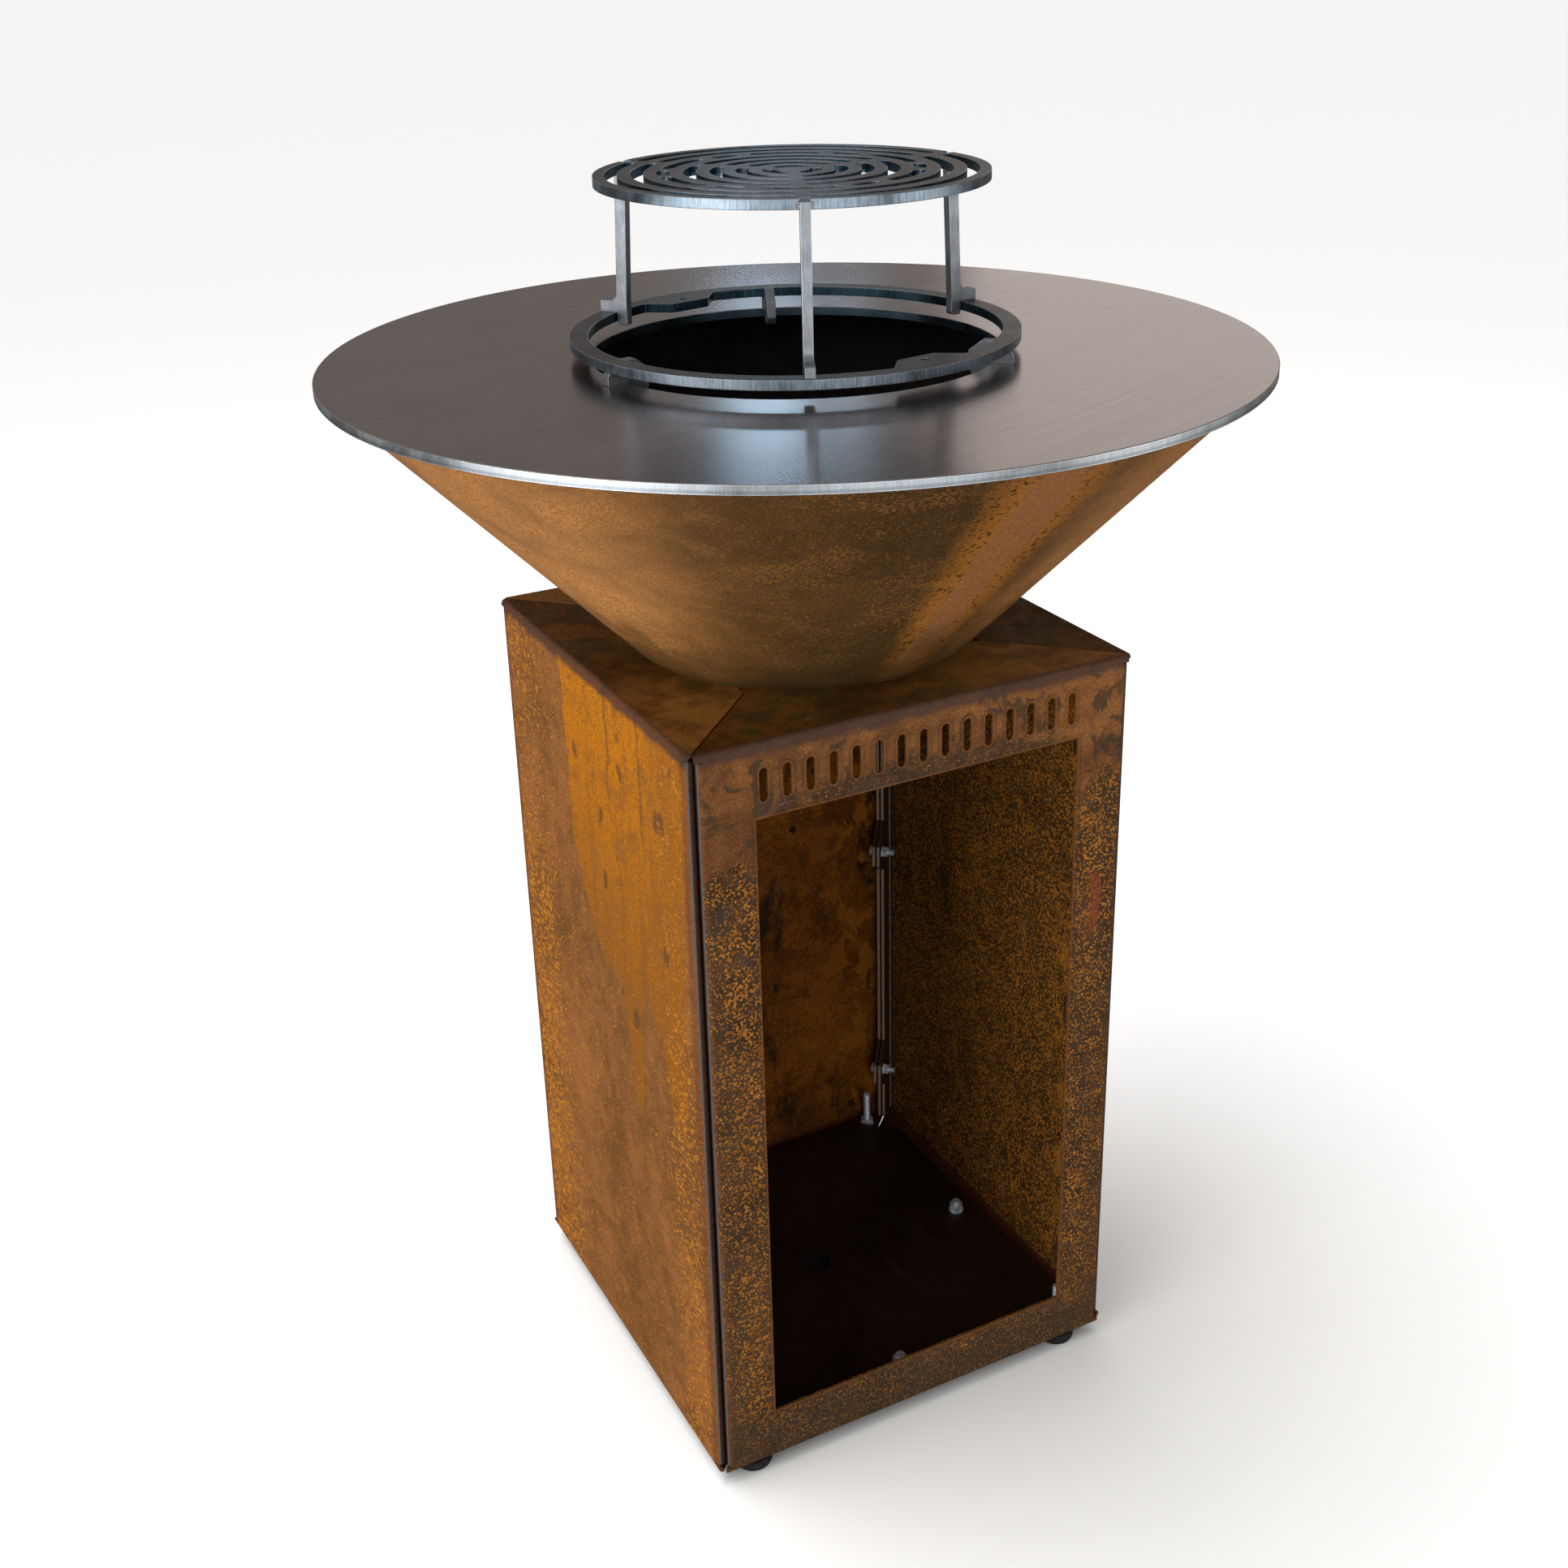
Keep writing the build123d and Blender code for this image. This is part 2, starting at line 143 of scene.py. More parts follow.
def finish(name, gloss=0.5):
    """A new material: its tree, its shader and the place on the piece, in metres."""
    material = bpy.data.materials.new(name)
    material.use_nodes = True
    tree = material.node_tree
    shader = tree.nodes["Principled BSDF"]
    shader.inputs["Specular IOR Level"].default_value = gloss
    place = tree.nodes.new("ShaderNodeTexCoord").outputs["Object"]
    return material, tree, shader, place


def settle(tree, shader, colour, rough, height, depth, strength=1.0, edges=None):
    """Joins the last colour, roughness and height to the shader, with depth in metres;
    edges is the normal of rubbed edges that the relief is laid on."""
    tree.links.new(colour, shader.inputs["Base Color"])
    tree.links.new(rough, shader.inputs["Roughness"])
    bump = put(tree, "Bump", {"Height": height, "Distance": depth, "Strength": strength})
    if edges:
        tree.links.new(edges, bump.inputs["Normal"])
    tree.links.new(bump.outputs[0], shader.inputs["Normal"])


def wear(material, *names):
    """Gives CAD nodes their finish."""
    for name in names:
        for holder in nodes[name].material_slots:
            holder.material = material


def outward(tree, place):
    """How squarely a face looks away from the upright axis: 1 away, -1 towards it."""
    facing = put(tree, "NewGeometry").outputs["Normal"]
    level = put(tree, "VectorMath", {0: place, 1: (1, 1, 0)}, operation="MULTIPLY").outputs[0]
    out = put(tree, "VectorMath", {0: level}, operation="NORMALIZE").outputs[0]
    return put(tree, "VectorMath", {0: facing, 1: out}, operation="DOT_PRODUCT").outputs["Value"]


# Rust skin: a ground of two browns in clouds, with a sandy grain. Grain says how
# much lighter and darker the sand is than its ground.
rust_skin, given, kept = effect(
    "rust_skin",
    [("Place", "Vector", None), ("Dark", "Color", (0.2, 0.08, 0.03, 1)),
     ("Light", "Color", (0.3, 0.13, 0.05, 1)), ("Grain", "Float", 0.5)],
    [("Color", "Color"), ("Height", "Float")],
)
broad = cloud(rust_skin, given["Place"], 7.0, 4.0, 0.6, 0.4)
mottle = cloud(rust_skin, given["Place"], 55.0, 4.0, 0.65)
sand = cloud(rust_skin, given["Place"], 560.0, 2.0, 0.65)
mixed = calc(rust_skin, "MULTIPLY_ADD", mottle, 0.55, calc(rust_skin, "MULTIPLY", broad, 0.75))
ground = tint(rust_skin, slope(rust_skin, mixed, 0.47, 0.83), given["Dark"], given["Light"])
shade = slope(rust_skin, sand, 0.33, 0.67, -0.38, 0.38)
shade = calc(rust_skin, "MULTIPLY_ADD", shade, given["Grain"], 1.0)
grained = put(rust_skin, "VectorMath", {0: ground}, operation="SCALE")
rust_skin.links.new(shade, grained.inputs["Scale"])
rust_skin.links.new(grained.outputs[0], kept["Color"])
rust_skin.links.new(calc(rust_skin, "MULTIPLY_ADD", mottle, 0.5, sand), kept["Height"])

# Rust bloom: small raised grains and worm-like crumbs of fresh orange rust. Cover
# says how crowded they are, from 0 to 1, and Size is one crumb's width in metres.
rust_bloom, given, kept = effect(
    "rust_bloom",
    [("Place", "Vector", None), ("Cover", "Float", 0.4), ("Size", "Float", 0.004)],
    [("Mask", "Float"), ("Height", "Float")],
)
closeness = calc(rust_bloom, "DIVIDE", 1.0, given["Size"])
speck = unsteady(rust_bloom, given["Place"], closeness, 2.0, 0.5, 0.6)
cells = put(rust_bloom, "TexVoronoi", {"Vector": given["Place"], "Scale": closeness})
round_grain = calc(rust_bloom, "SUBTRACT", 0.52, cells.outputs["Distance"])
speck = calc(rust_bloom, "MULTIPLY_ADD", speck, 0.6, 0.5)
crumbs = calc(rust_bloom, "MULTIPLY_ADD", round_grain, 0.55, speck)
patches = unsteady(rust_bloom, given["Place"], 38.0, 4.0, 0.65)
edge = calc(rust_bloom, "MULTIPLY_ADD", given["Cover"], -0.36, 0.72)
edge = calc(rust_bloom, "MULTIPLY_ADD", patches, -0.32, edge)
over = calc(rust_bloom, "SUBTRACT", crumbs, edge)
rust_bloom.links.new(slope(rust_bloom, over, 0.0, 0.035), kept["Mask"])
rust_bloom.links.new(slope(rust_bloom, over, -0.02, 0.10), kept["Height"])

# Scale spots: scattered spots with ragged edges. Scale is in spots per metre, and
# Share is the part of them that shows.
scale_spots, given, kept = effect(
    "scale_spots",
    [("Place", "Vector", None), ("Scale", "Float", 26.0), ("Share", "Float", 0.35)],
    [("Mask", "Float")],
)
ragged = put(scale_spots, "TexNoise", {"Vector": given["Place"], "Scale": 90.0, "Detail": 3.0})
pull = {0: ragged.outputs["Color"], 1: (0.012,) * 3, 2: given["Place"]}
moved = put(scale_spots, "VectorMath", pull, operation="MULTIPLY_ADD")
cells = put(scale_spots, "TexVoronoi", {"Vector": moved.outputs[0], "Scale": given["Scale"]})
lot = put(scale_spots, "SeparateColor", {"Color": cells.outputs["Color"]})
size = calc(scale_spots, "MULTIPLY_ADD", lot.outputs["Green"], 0.28, 0.16)
spot = slope(scale_spots, calc(scale_spots, "SUBTRACT", cells.outputs["Distance"], size), 0.05, -0.03)
chosen = calc(scale_spots, "LESS_THAN", lot.outputs["Red"], given["Share"])
scale_spots.links.new(calc(scale_spots, "MULTIPLY", spot, chosen), kept["Mask"])

# the pedestal's outer faces, and the levels of its lower and upper edges
low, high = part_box("panel_left")
half_width, foot_line, lid_line = -low.x, low.z, high.z


def panel_steel(name, turn, seed, browns, bloom, bloom_size, cover_across, cover_down, flood, drag):
    """The rusted skin of one panel, worked out as if it were the front one: u runs
    across to the right, z up, and y is minus the distance out. Browns are the ground's
    two colours and bloom the crumbs'; the cover curves say how crowded the crumbs are
    from left to right and from foot to lid, drag how they are stretched, and flood how
    far down the rain has run. Returns what the panel's own marks are laid on."""
    material, tree, shader, place = finish(name, 0.10)
    local = stretch(tree, place, turn=(0, 0, turn))
    u, y, z = put(tree, "SeparateXYZ", {0: local}).outputs
    where = stretch(tree, local, shift=(seed, 0, seed * 1.7))
    skin = use(tree, rust_skin, Place=where, Dark=browns[0], Light=browns[1], Grain=0.75)
    colour, height = skin["Color"], skin["Height"]

    if flood:
        colour = rain_run(tree, colour, u, z, where, flood)

    across = hand_curve(tree, u, -half_width, half_width, cover_across)
    down = hand_curve(tree, z, foot_line, lid_line, cover_down)
    cover = calc(tree, "MULTIPLY", across, down)
    dragged = stretch(tree, where, scale=drag)
    crumbs = use(tree, rust_bloom, Place=dragged, Cover=cover, Size=bloom_size)
    pale = slope(tree, cloud(tree, where, 130.0, 2.0, 0.5), 0.35, 0.65)
    colour = tint(tree, crumbs["Mask"], colour, tint(tree, pale, bloom[0], bloom[1]))
    height = calc(tree, "MULTIPLY_ADD", crumbs["Height"], 1.4, height)
    return material, tree, shader, colour, height, u, y, z, where


def rain_run(tree, colour, u, z, where, flood):
    """Fresh orange rust that rain has washed down from the top fold. The curve says
    how far down it reaches, as a share of the panel's height, from left to right."""
    ragged = unsteady(tree, stretch(tree, where, scale=(1, 1, 0.45)), 60.0, 4.0, 0.65)
    uneven = calc(tree, "MULTIPLY_ADD", ragged, 0.034, u)
    depth = hand_curve(tree, uneven, -half_width, half_width, flood)
    down = calc(tree, "SUBTRACT", lid_line - 0.012, z)
    down = calc(tree, "DIVIDE", down, lid_line - foot_line)
    down = calc(tree, "MULTIPLY_ADD", ragged, 0.05, down)
    wet = slope(tree, calc(tree, "SUBTRACT", depth, down), -0.03, 0.05)

    fresh = slope(tree, u, 0.08, 0.17, 1.0, 0.3)
    fresh = calc(tree, "MULTIPLY", slope(tree, down, 0.02, 0.42, 1.0, 0.0), fresh)
    orange = tint(tree, fresh, (0.32, 0.112, 0.010, 1), (0.56, 0.190, 0.0035, 1))
    streaks = cloud(tree, stretch(tree, where, scale=(1, 1, 0.12)), 75.0, 3.0, 0.6)
    streaks = slope(tree, streaks, 0.48, 0.68, 0.0, 0.35)
    orange = tint(tree, streaks, orange, (0.19, 0.080, 0.022, 1))
    dots = slope(tree, cloud(tree, where, 430.0, 4.0, 0.7), 0.52, 0.38, 0.0, 0.75)
    orange = tint(tree, dots, orange, (0.17, 0.07, 0.02, 1))
    blotch = slope(tree, cloud(tree, where, 32.0, 5.0, 0.7, 0.6), 0.48, 0.62, 0.0, 0.6)
    orange = tint(tree, blotch, orange, (0.24, 0.095, 0.020, 1))
    longer = stretch(tree, where, scale=(1, 1, 0.6))
    stains = use(tree, scale_spots, Place=longer, Scale=38.0, Share=0.28)
    stains = calc(tree, "MULTIPLY", stains["Mask"], 0.7)
    orange = tint(tree, stains, orange, (0.10, 0.052, 0.024, 1))

    rim = slope(tree, apart(tree, depth, down), 0.025, 0.0, 0.0, 0.35)
    return tint(tree, rim, tint(tree, wet, colour, orange), (0.15, 0.075, 0.03, 1))


def fold_marks(tree, colour, u, y, z, where, fold):
    """Lays on what every panel has: darker folds, a bruised outer edge with a painted highlight line along
    its arris, and the dark top flange, made lighter towards its right-hand end by painted light. Fold is
    where the reddish bend starts, measured from the middle."""
    wavy = unsteady(tree, where, 45.0, 3.0, 0.6)
    across = calc(tree, "ABSOLUTE", u)
    from_side = calc(tree, "SUBTRACT", half_width, across)
    under_lid = calc(tree, "SUBTRACT", lid_line, z)

    bend = calc(tree, "MULTIPLY_ADD", wavy, 0.012, across)
    red = cloud(tree, where, 210.0, 2.0)
    red = tint(tree, red, (0.075, 0.028, 0.014, 1), (0.21, 0.075, 0.026, 1))
    colour = tint(tree, slope(tree, bend, fold - 0.008, fold + 0.004, 0.0, 0.75), colour, red)
    grey = cloud(tree, where, 120.0, 2.0)
    grey = tint(tree, grey, (0.045, 0.030, 0.023, 1), (0.11, 0.068, 0.045, 1))
    colour = tint(tree, slope(tree, from_side, 0.0080, 0.0055, 0.0, 0.85), colour, grey)
    # painted highlight: a pale line along the outer arris of each fold, coloured like rubbed steel
    rubbed_and_highlit = cloud(tree, stretch(tree, where, scale=(1, 1, 0.2)), 60.0, 3.0)
    rubbed_and_highlit = slope(tree, rubbed_and_highlit, 0.4, 0.6, 0.15, 0.6)
    rubbed_and_highlit = calc(tree, "MULTIPLY", rubbed_and_highlit, slope(tree, from_side, 0.0044, 0.0036))
    colour = tint(tree, rubbed_and_highlit, colour, (0.22, 0.165, 0.135, 1))
    top_bend = calc(tree, "MULTIPLY_ADD", wavy, -0.010, under_lid)
    top_bend = slope(tree, top_bend, 0.0145, 0.0065, 0.0, 0.85)
    colour = tint(tree, top_bend, colour, (0.065, 0.035, 0.028, 1))

    dark, light = (0.072, 0.029, 0.005, 1), (0.185, 0.076, 0.012, 1)
    lid = use(tree, rust_skin, Place=where, Dark=dark, Light=light, Grain=0.9)["Color"]
    olive = slope(tree, cloud(tree, where, 18.0, 4.0, 0.65, 0.6), 0.50, 0.62, 0.0, 0.75)
    lid = tint(tree, olive, lid, (0.062, 0.043, 0.013, 1))
    # painted light: the top flange turns lighter in patches towards its right-hand end
    painted_light_on_lid = slope(tree, cloud(tree, where, 26.0, 4.0), 0.36, 0.6, 0.15, 0.75)
    painted_light_on_lid = calc(tree, "MULTIPLY", slope(tree, u, 0.0, 0.11), painted_light_on_lid)
    lid = tint(tree, painted_light_on_lid, lid, (0.36, 0.165, 0.034, 1))
    from_face = calc(tree, "ADD", y, half_width)
    on_lid = calc(tree, "MULTIPLY", slope(tree, under_lid, 0.0015, 0.0005),
                  slope(tree, from_face, 0.0025, 0.0065))
    return tint(tree, on_lid, colour, lid)


def inner_wall(tree, u, y, z, where, dark, light, cover, crumb, soot):
    """The inside of a panel: dark oily rust with dense orange crumbs or smudges of soot, painted shade
    towards the folded corners with a bluish painted reflection along the bend, and corner flanges made
    nearly black as painted shade with a little rust, their cut edges pale, partly bare steel and partly
    painted highlight. Returns the colour, and 1 where a face is inside."""
    skin = use(tree, rust_skin, Place=where, Dark=dark, Light=light, Grain=1.0)
    crumbs = use(tree, rust_bloom, Place=where, Cover=cover, Size=0.0026)
    colour = tint(tree, calc(tree, "MULTIPLY", crumbs["Mask"], 0.8), skin["Color"], crumb)
    smoke = cloud(tree, stretch(tree, where, scale=(1, 1, 0.5)), 17.0, 5.0, 0.7, 0.5)
    smoke = slope(tree, smoke, 0.50, 0.68, 0.0, soot)
    colour = tint(tree, smoke, colour, (0.012, 0.006, 0.003, 1))
    dots = use(tree, scale_spots, Place=where, Scale=75.0, Share=0.07)
    dots = calc(tree, "MULTIPLY", dots["Mask"], soot)
    colour = tint(tree, dots, colour, (0.014, 0.008, 0.005, 1))
    flare = cloud(tree, stretch(tree, where, scale=(1, 1, 0.7)), 42.0, 4.0, 0.65, 0.4)
    by_door = slope(tree, u, -0.10, -0.17, 0.0, 0.9)
    flare = calc(tree, "MULTIPLY", slope(tree, flare, 0.50, 0.58), by_door)
    colour = tint(tree, flare, colour, crumb)

    from_side = calc(tree, "SUBTRACT", half_width, calc(tree, "ABSOLUTE", u))
    from_face = calc(tree, "ADD", y, half_width)
    under_lid = calc(tree, "SUBTRACT", lid_line, z)
    # painted shade: the inner wall darkens towards its folded corners
    shade = slope(tree, from_side, 0.023, 0.0075, 0.0, 0.8)
    colour = tint(tree, shade, colour, (0.020, 0.028, 0.030, 1))
    # painted reflection: a thin bluish line along the inner side of the bend
    blued_and_reflected = slope(tree, from_side, 0.0125, 0.0105, 0.0, 0.8)
    colour = tint(tree, blued_and_reflected, colour, (0.09, 0.15, 0.19, 1))
    bottom_bend = slope(tree, z, foot_line + 0.0080, foot_line + 0.0075, 0.0, 0.8)
    colour = tint(tree, bottom_bend, colour, (0.08, 0.026, 0.012, 1))

    # painted shade: the corner flanges, seen in the gap between panels, are made nearly black, with a
    # little reddish rust
    past_diagonal = calc(tree, "SUBTRACT", from_face, from_side)
    flange = calc(tree, "MULTIPLY", slope(tree, past_diagonal, -0.0100, -0.0078),
                  slope(tree, from_face, 0.0020, 0.0040))
    flange = calc(tree, "MULTIPLY", flange, slope(tree, under_lid, 0.0030, 0.0040))
    flange_shade_and_rust = cloud(tree, where, 150.0, 3.0)
    flange_shade_and_rust = tint(tree, flange_shade_and_rust, (0.018, 0.010, 0.007, 1), (0.085, 0.034, 0.018, 1))
    colour = tint(tree, flange, colour, flange_shade_and_rust)
    place = put(tree, "TexCoord").outputs["Object"]
    # pale cut edges of the flanges: partly bare steel, partly painted highlight
    cut_edge_and_highlight = slope(tree, outward(tree, place), -0.86, -0.95, 0.0, 0.75)
    cut_edge_and_highlight = calc(tree, "MULTIPLY", flange, cut_edge_and_highlight)
    colour = tint(tree, cut_edge_and_highlight, colour, (0.36, 0.26, 0.18, 1))

    inside = calc(tree, "MULTIPLY", slope(tree, from_face, 0.0017, 0.0025),
                  slope(tree, from_side, 0.0065, 0.0075))
    inside = calc(tree, "MAXIMUM", inside, slope(tree, from_face, 0.0050, 0.0065))
    inside = calc(tree, "MULTIPLY", inside, slope(tree, under_lid, 0.0010, 0.0018))
    return colour, inside


def close_panel(panel, tone, fold=0.196):
    """The last layers of a panel, and its shader. Tone holds the inner wall's two
    browns, how crowded its crumbs are, their colour, and how sooty it is."""
    material, tree, shader, colour, height, u, y, z, where = panel
    colour = fold_marks(tree, colour, u, y, z, where, fold)
    within, inside = inner_wall(tree, u, y, z, where, *tone)
    colour = tint(tree, inside, colour, within)
    rough = slope(tree, cloud(tree, where, 35.0, 3.0, 0.6), 0.3, 0.7, 0.58, 0.80)
    settle(tree, shader, colour, rough, height, 0.0006, 0.55)
    return material


# Front panel: the door is cut out of it, with a row of vents over the door.
door_half, door_bottom, door_top = 0.155, 0.068, 0.668
vent_count, vent_pitch, vent_z = 15, 0.021, 0.697
vent_radius, vent_straight = 0.004, 0.0105  # of its ends, and half its straight sides

front = panel_steel(
    "rusted_front", 0.0, 0.0,
    ((0.040, 0.024, 0.013, 1), (0.085, 0.046, 0.022, 1)),
    ((0.25, 0.086, 0.011, 1), (0.42, 0.160, 0.023, 1)), 0.0026,
    [(0, 0.35), (0.05, 0.50), (0.12, 0.58), (0.5, 0.56), (0.88, 0.56), (0.95, 0.50), (1, 0.35)],
    [(0, 0.7), (0.04, 0.75), (0.1, 0.85), (0.5, 0.9), (0.8, 1.0), (0.88, 0.8), (0.92, 0.3), (1, 0.2)],
    None, (1, 1, 1),
)
material, tree, shader, colour, height, u, y, z, where = front
# a smoother brown band across the top, that hangs down further beside the door
wavy = unsteady(tree, where, 28.0, 5.0, 0.7, 0.5)
hang = [(0, 0.60), (0.12, 0.62), (0.2, 0.92), (0.8, 0.92), (0.88, 0.62), (1, 0.6)]
band_edge = calc(tree, "MULTIPLY_ADD", wavy, 0.13, 0.530)
band_edge = calc(tree, "MULTIPLY_ADD", hand_curve(tree, u, -half_width, half_width, hang), 0.15, band_edge)
band = slope(tree, calc(tree, "SUBTRACT", z, band_edge), -0.004, 0.012)
dark, light = (0.13, 0.050, 0.016, 1), (0.27, 0.108, 0.032, 1)
smooth = use(tree, rust_skin, Place=where, Dark=dark, Light=light, Grain=0.7)
colour = tint(tree, calc(tree, "MULTIPLY", band, 0.9), colour, smooth["Color"])
blots = cloud(tree, stretch(tree, where, shift=(0.3, 0, 0.1)), 42.0, 5.0, 0.7, 0.8)
blots = calc(tree, "MULTIPLY", slope(tree, blots, 0.52, 0.60, 0.0, 0.8), band)
colour = tint(tree, blots, colour, (0.048, 0.034, 0.019, 1))
# damp grey at the foot, red spots down the right side and a few plum stains
low_grey = slope(tree, calc(tree, "MULTIPLY_ADD", wavy, 0.06, z), 0.085, 0.045, 0.0, 0.55)
colour = tint(tree, low_grey, colour, (0.044, 0.031, 0.019, 1))
longer = stretch(tree, where, scale=(1, 1, 0.7), shift=(0.11, 0, 0.3))
red_spots = use(tree, scale_spots, Place=longer, Scale=15.0, Share=0.35)
red_spots = calc(tree, "MULTIPLY", red_spots["Mask"], slope(tree, u, 0.165, 0.185, 0.0, 0.8))
colour = tint(tree, red_spots, colour, (0.22, 0.050, 0.022, 1))
plum = cloud(tree, stretch(tree, where, shift=(0.5, 0, 0.9)), 30.0, 4.0, 0.7)
plum = slope(tree, plum, 0.60, 0.68, 0.0, 0.6)
colour = tint(tree, plum, colour, (0.052, 0.032, 0.036, 1))
# a cut edge rusts first: a thin orange line with a darker one outside it
across = calc(tree, "SUBTRACT", calc(tree, "ABSOLUTE", u), door_half)
updown = apart(tree, z, (door_bottom + door_top) / 2)
updown = calc(tree, "SUBTRACT", updown, (door_top - door_bottom) / 2)
from_door = calc(tree, "MAXIMUM", across, updown)
vent_u = calc(tree, "PINGPONG", u, vent_pitch / 2)
vent_v = calc(tree, "SUBTRACT", apart(tree, z, vent_z), vent_straight)
vent_v = calc(tree, "MAXIMUM", vent_v, 0.0)
squares = calc(tree, "ADD", calc(tree, "POWER", vent_u, 2.0), calc(tree, "POWER", vent_v, 2.0))
from_vent = calc(tree, "SUBTRACT", calc(tree, "SQRT", squares), vent_radius)
past_row = calc(tree, "GREATER_THAN", calc(tree, "ABSOLUTE", u), vent_count * vent_pitch / 2)
from_vent = calc(tree, "ADD", from_vent, past_row)
from_cut = calc(tree, "MINIMUM", from_door, from_vent)
from_cut = calc(tree, "MULTIPLY_ADD", unsteady(tree, where, 160.0, 3.0), 0.004, from_cut)
halo = slope(tree, from_cut, 0.0055, 0.003, 0.0, 0.35)
colour = tint(tree, halo, colour, (0.055, 0.028, 0.014, 1))
cut_line = slope(tree, from_cut, 0.0022, 0.0008, 0.0, 0.45)
colour = tint(tree, cut_line, colour, (0.21, 0.080, 0.020, 1))
front = material, tree, shader, colour, height, u, y, z, where
tone = (0.04, 0.018, 0.005, 1), (0.10, 0.042, 0.010, 1), 0.4, (0.30, 0.11, 0.013, 1), 0.6
wear(close_panel(front, tone, 0.2035), "panel_front")

# Left panel: rain has washed one wide run of fresh orange down from the top fold.
left = panel_steel(
    "rusted_left", math.radians(90), 0.35,
    ((0.175, 0.073, 0.020, 1), (0.315, 0.124, 0.036, 1)),
    ((0.42, 0.145, 0.014, 1), (0.60, 0.235, 0.026, 1)), 0.0044,
    [(0, 0.65), (0.08, 0.75), (0.18, 0.6), (0.28, 0.26), (0.5, 0.12), (0.78, 0.12), (0.86, 0.5),
     (0.93, 0.5), (1, 0.5)],
    [(0, 0.9), (0.2, 0.85), (0.5, 0.85), (0.66, 0.7), (0.8, 0.45), (0.95, 0.6), (1, 0.6)],
    [(0, 0.0), (0.355, 0.0), (0.375, 0.25), (0.43, 0.33), (0.50, 0.385), (0.60, 0.41),
     (0.625, 0.48), (0.655, 0.57), (0.69, 0.47), (0.73, 0.37), (0.77, 0.40), (0.81, 0.42),
     (0.845, 0.5), (0.88, 0.52), (0.92, 0.40), (0.95, 0.2), (1, 0.1)],
    (0.7, 1, 1.5),
)
material, tree, shader, colour, height, u, y, z, where = left
# two thin dark drips below the run: where each is, how wide, and how high it starts
for line, width, start in ((0.042, 0.0035, 0.62), (0.112, 0.0028, 0.60)):
    crooked = calc(tree, "MULTIPLY_ADD", unsteady(tree, where, 34.0, 3.0, 0.6), 0.02, u)
    drip = slope(tree, apart(tree, crooked, line), width, width * 0.3)
    drip = calc(tree, "MULTIPLY", drip, slope(tree, z, start - 0.02, start + 0.04, 0.0, 0.6))
    colour = tint(tree, drip, colour, (0.13, 0.065, 0.028, 1))
left = material, tree, shader, colour, height, u, y, z, where
tone = (0.06, 0.028, 0.008, 1), (0.15, 0.062, 0.014, 1), 0.4, (0.42, 0.16, 0.02, 1), 0.6
wear(close_panel(left, tone), "panel_left")

# Right panel: even brown with drips, and inside a dense orange bloom.
right = panel_steel(
    "rusted_right", math.radians(-90), 0.8,
    ((0.15, 0.072, 0.030, 1), (0.30, 0.135, 0.052, 1)),
    ((0.40, 0.16, 0.025, 1), (0.62, 0.28, 0.05, 1)), 0.0050,
    [(0, 0.8), (0.1, 0.9), (0.25, 0.5), (0.5, 0.35), (0.7, 0.55), (0.9, 0.9), (1, 0.7)],
    [(0, 1.0), (0.3, 0.8), (0.6, 0.75), (0.85, 0.6), (1, 0.5)],
    [(0, 0.1), (0.1, 0.32), (0.22, 0.15), (0.3, 0.46), (0.38, 0.18), (0.5, 0.05), (0.62, 0.08),
     (0.7, 0.34), (0.76, 0.12), (0.9, 0.22), (1, 0.1)],
    (0.8, 1, 1.2),
)
tone = (0.056, 0.030, 0.009, 1), (0.105, 0.053, 0.014, 1), 0.50, (0.55, 0.20, 0.022, 1), 0.35
wear(close_panel(right, tone), "panel_right")

# Back panel: the weather side, brown with a wide washed run off centre.
back = panel_steel(
    "rusted_back", math.radians(180), 1.3,
    ((0.19, 0.088, 0.035, 1), (0.34, 0.15, 0.06, 1)),
    ((0.42, 0.17, 0.028, 1), (0.64, 0.30, 0.055, 1)), 0.0054,
    [(0, 0.7), (0.1, 0.85), (0.3, 0.3), (0.6, 0.3), (0.8, 0.7), (1, 0.8)],
    [(0, 0.9), (0.3, 0.85), (0.6, 0.7), (1, 0.5)],
    [(0, 0.05), (0.14, 0.1), (0.18, 0.30), (0.3, 0.42), (0.36, 0.62), (0.41, 0.40), (0.55, 0.30),
     (0.58, 0.44), (0.62, 0.22), (0.66, 0.02), (0.9, 0.0), (1, 0.05)],
    (0.7, 1, 1.4),
)
tone = (0.070, 0.020, 0.0015, 1), (0.19, 0.060, 0.0045, 1), 0.10, (0.24, 0.08, 0.006, 1), 0.9
wear(close_panel(back, tone), "panel_back")

# ------------------------------------------------------------------- floor plate
# A 5 mm plate of the same steel lies on the bottom flanges. It is nearly black from
# oil and soot, with a few pale drag marks where logs slide in.
material, tree, shader, place = finish("sooty_floor", 0.4)
dark, light = (0.007, 0.003, 0.0015, 1), (0.026, 0.012, 0.005, 1)
skin = use(tree, rust_skin, Place=place, Dark=dark, Light=light, Grain=0.8)
drag = cloud(tree, stretch(tree, place, scale=(1, 0.12, 1), turn=(0, 0, 0.5)), 90.0, 4.0, 0.7)
where_dragged = slope(tree, cloud(tree, place, 12.0, 2.0), 0.5, 0.62, 0.0, 0.6)
worn = calc(tree, "MULTIPLY", slope(tree, drag, 0.56, 0.72), where_dragged)
colour = tint(tree, worn, skin["Color"], (0.07, 0.034, 0.018, 1))
rough = slope(tree, cloud(tree, place, 30.0, 3.0), 0.3, 0.7, 0.38, 0.62)
settle(tree, shader, colour, rough, skin["Height"], 0.0004, 0.4)
wear(material, "floor_plate")

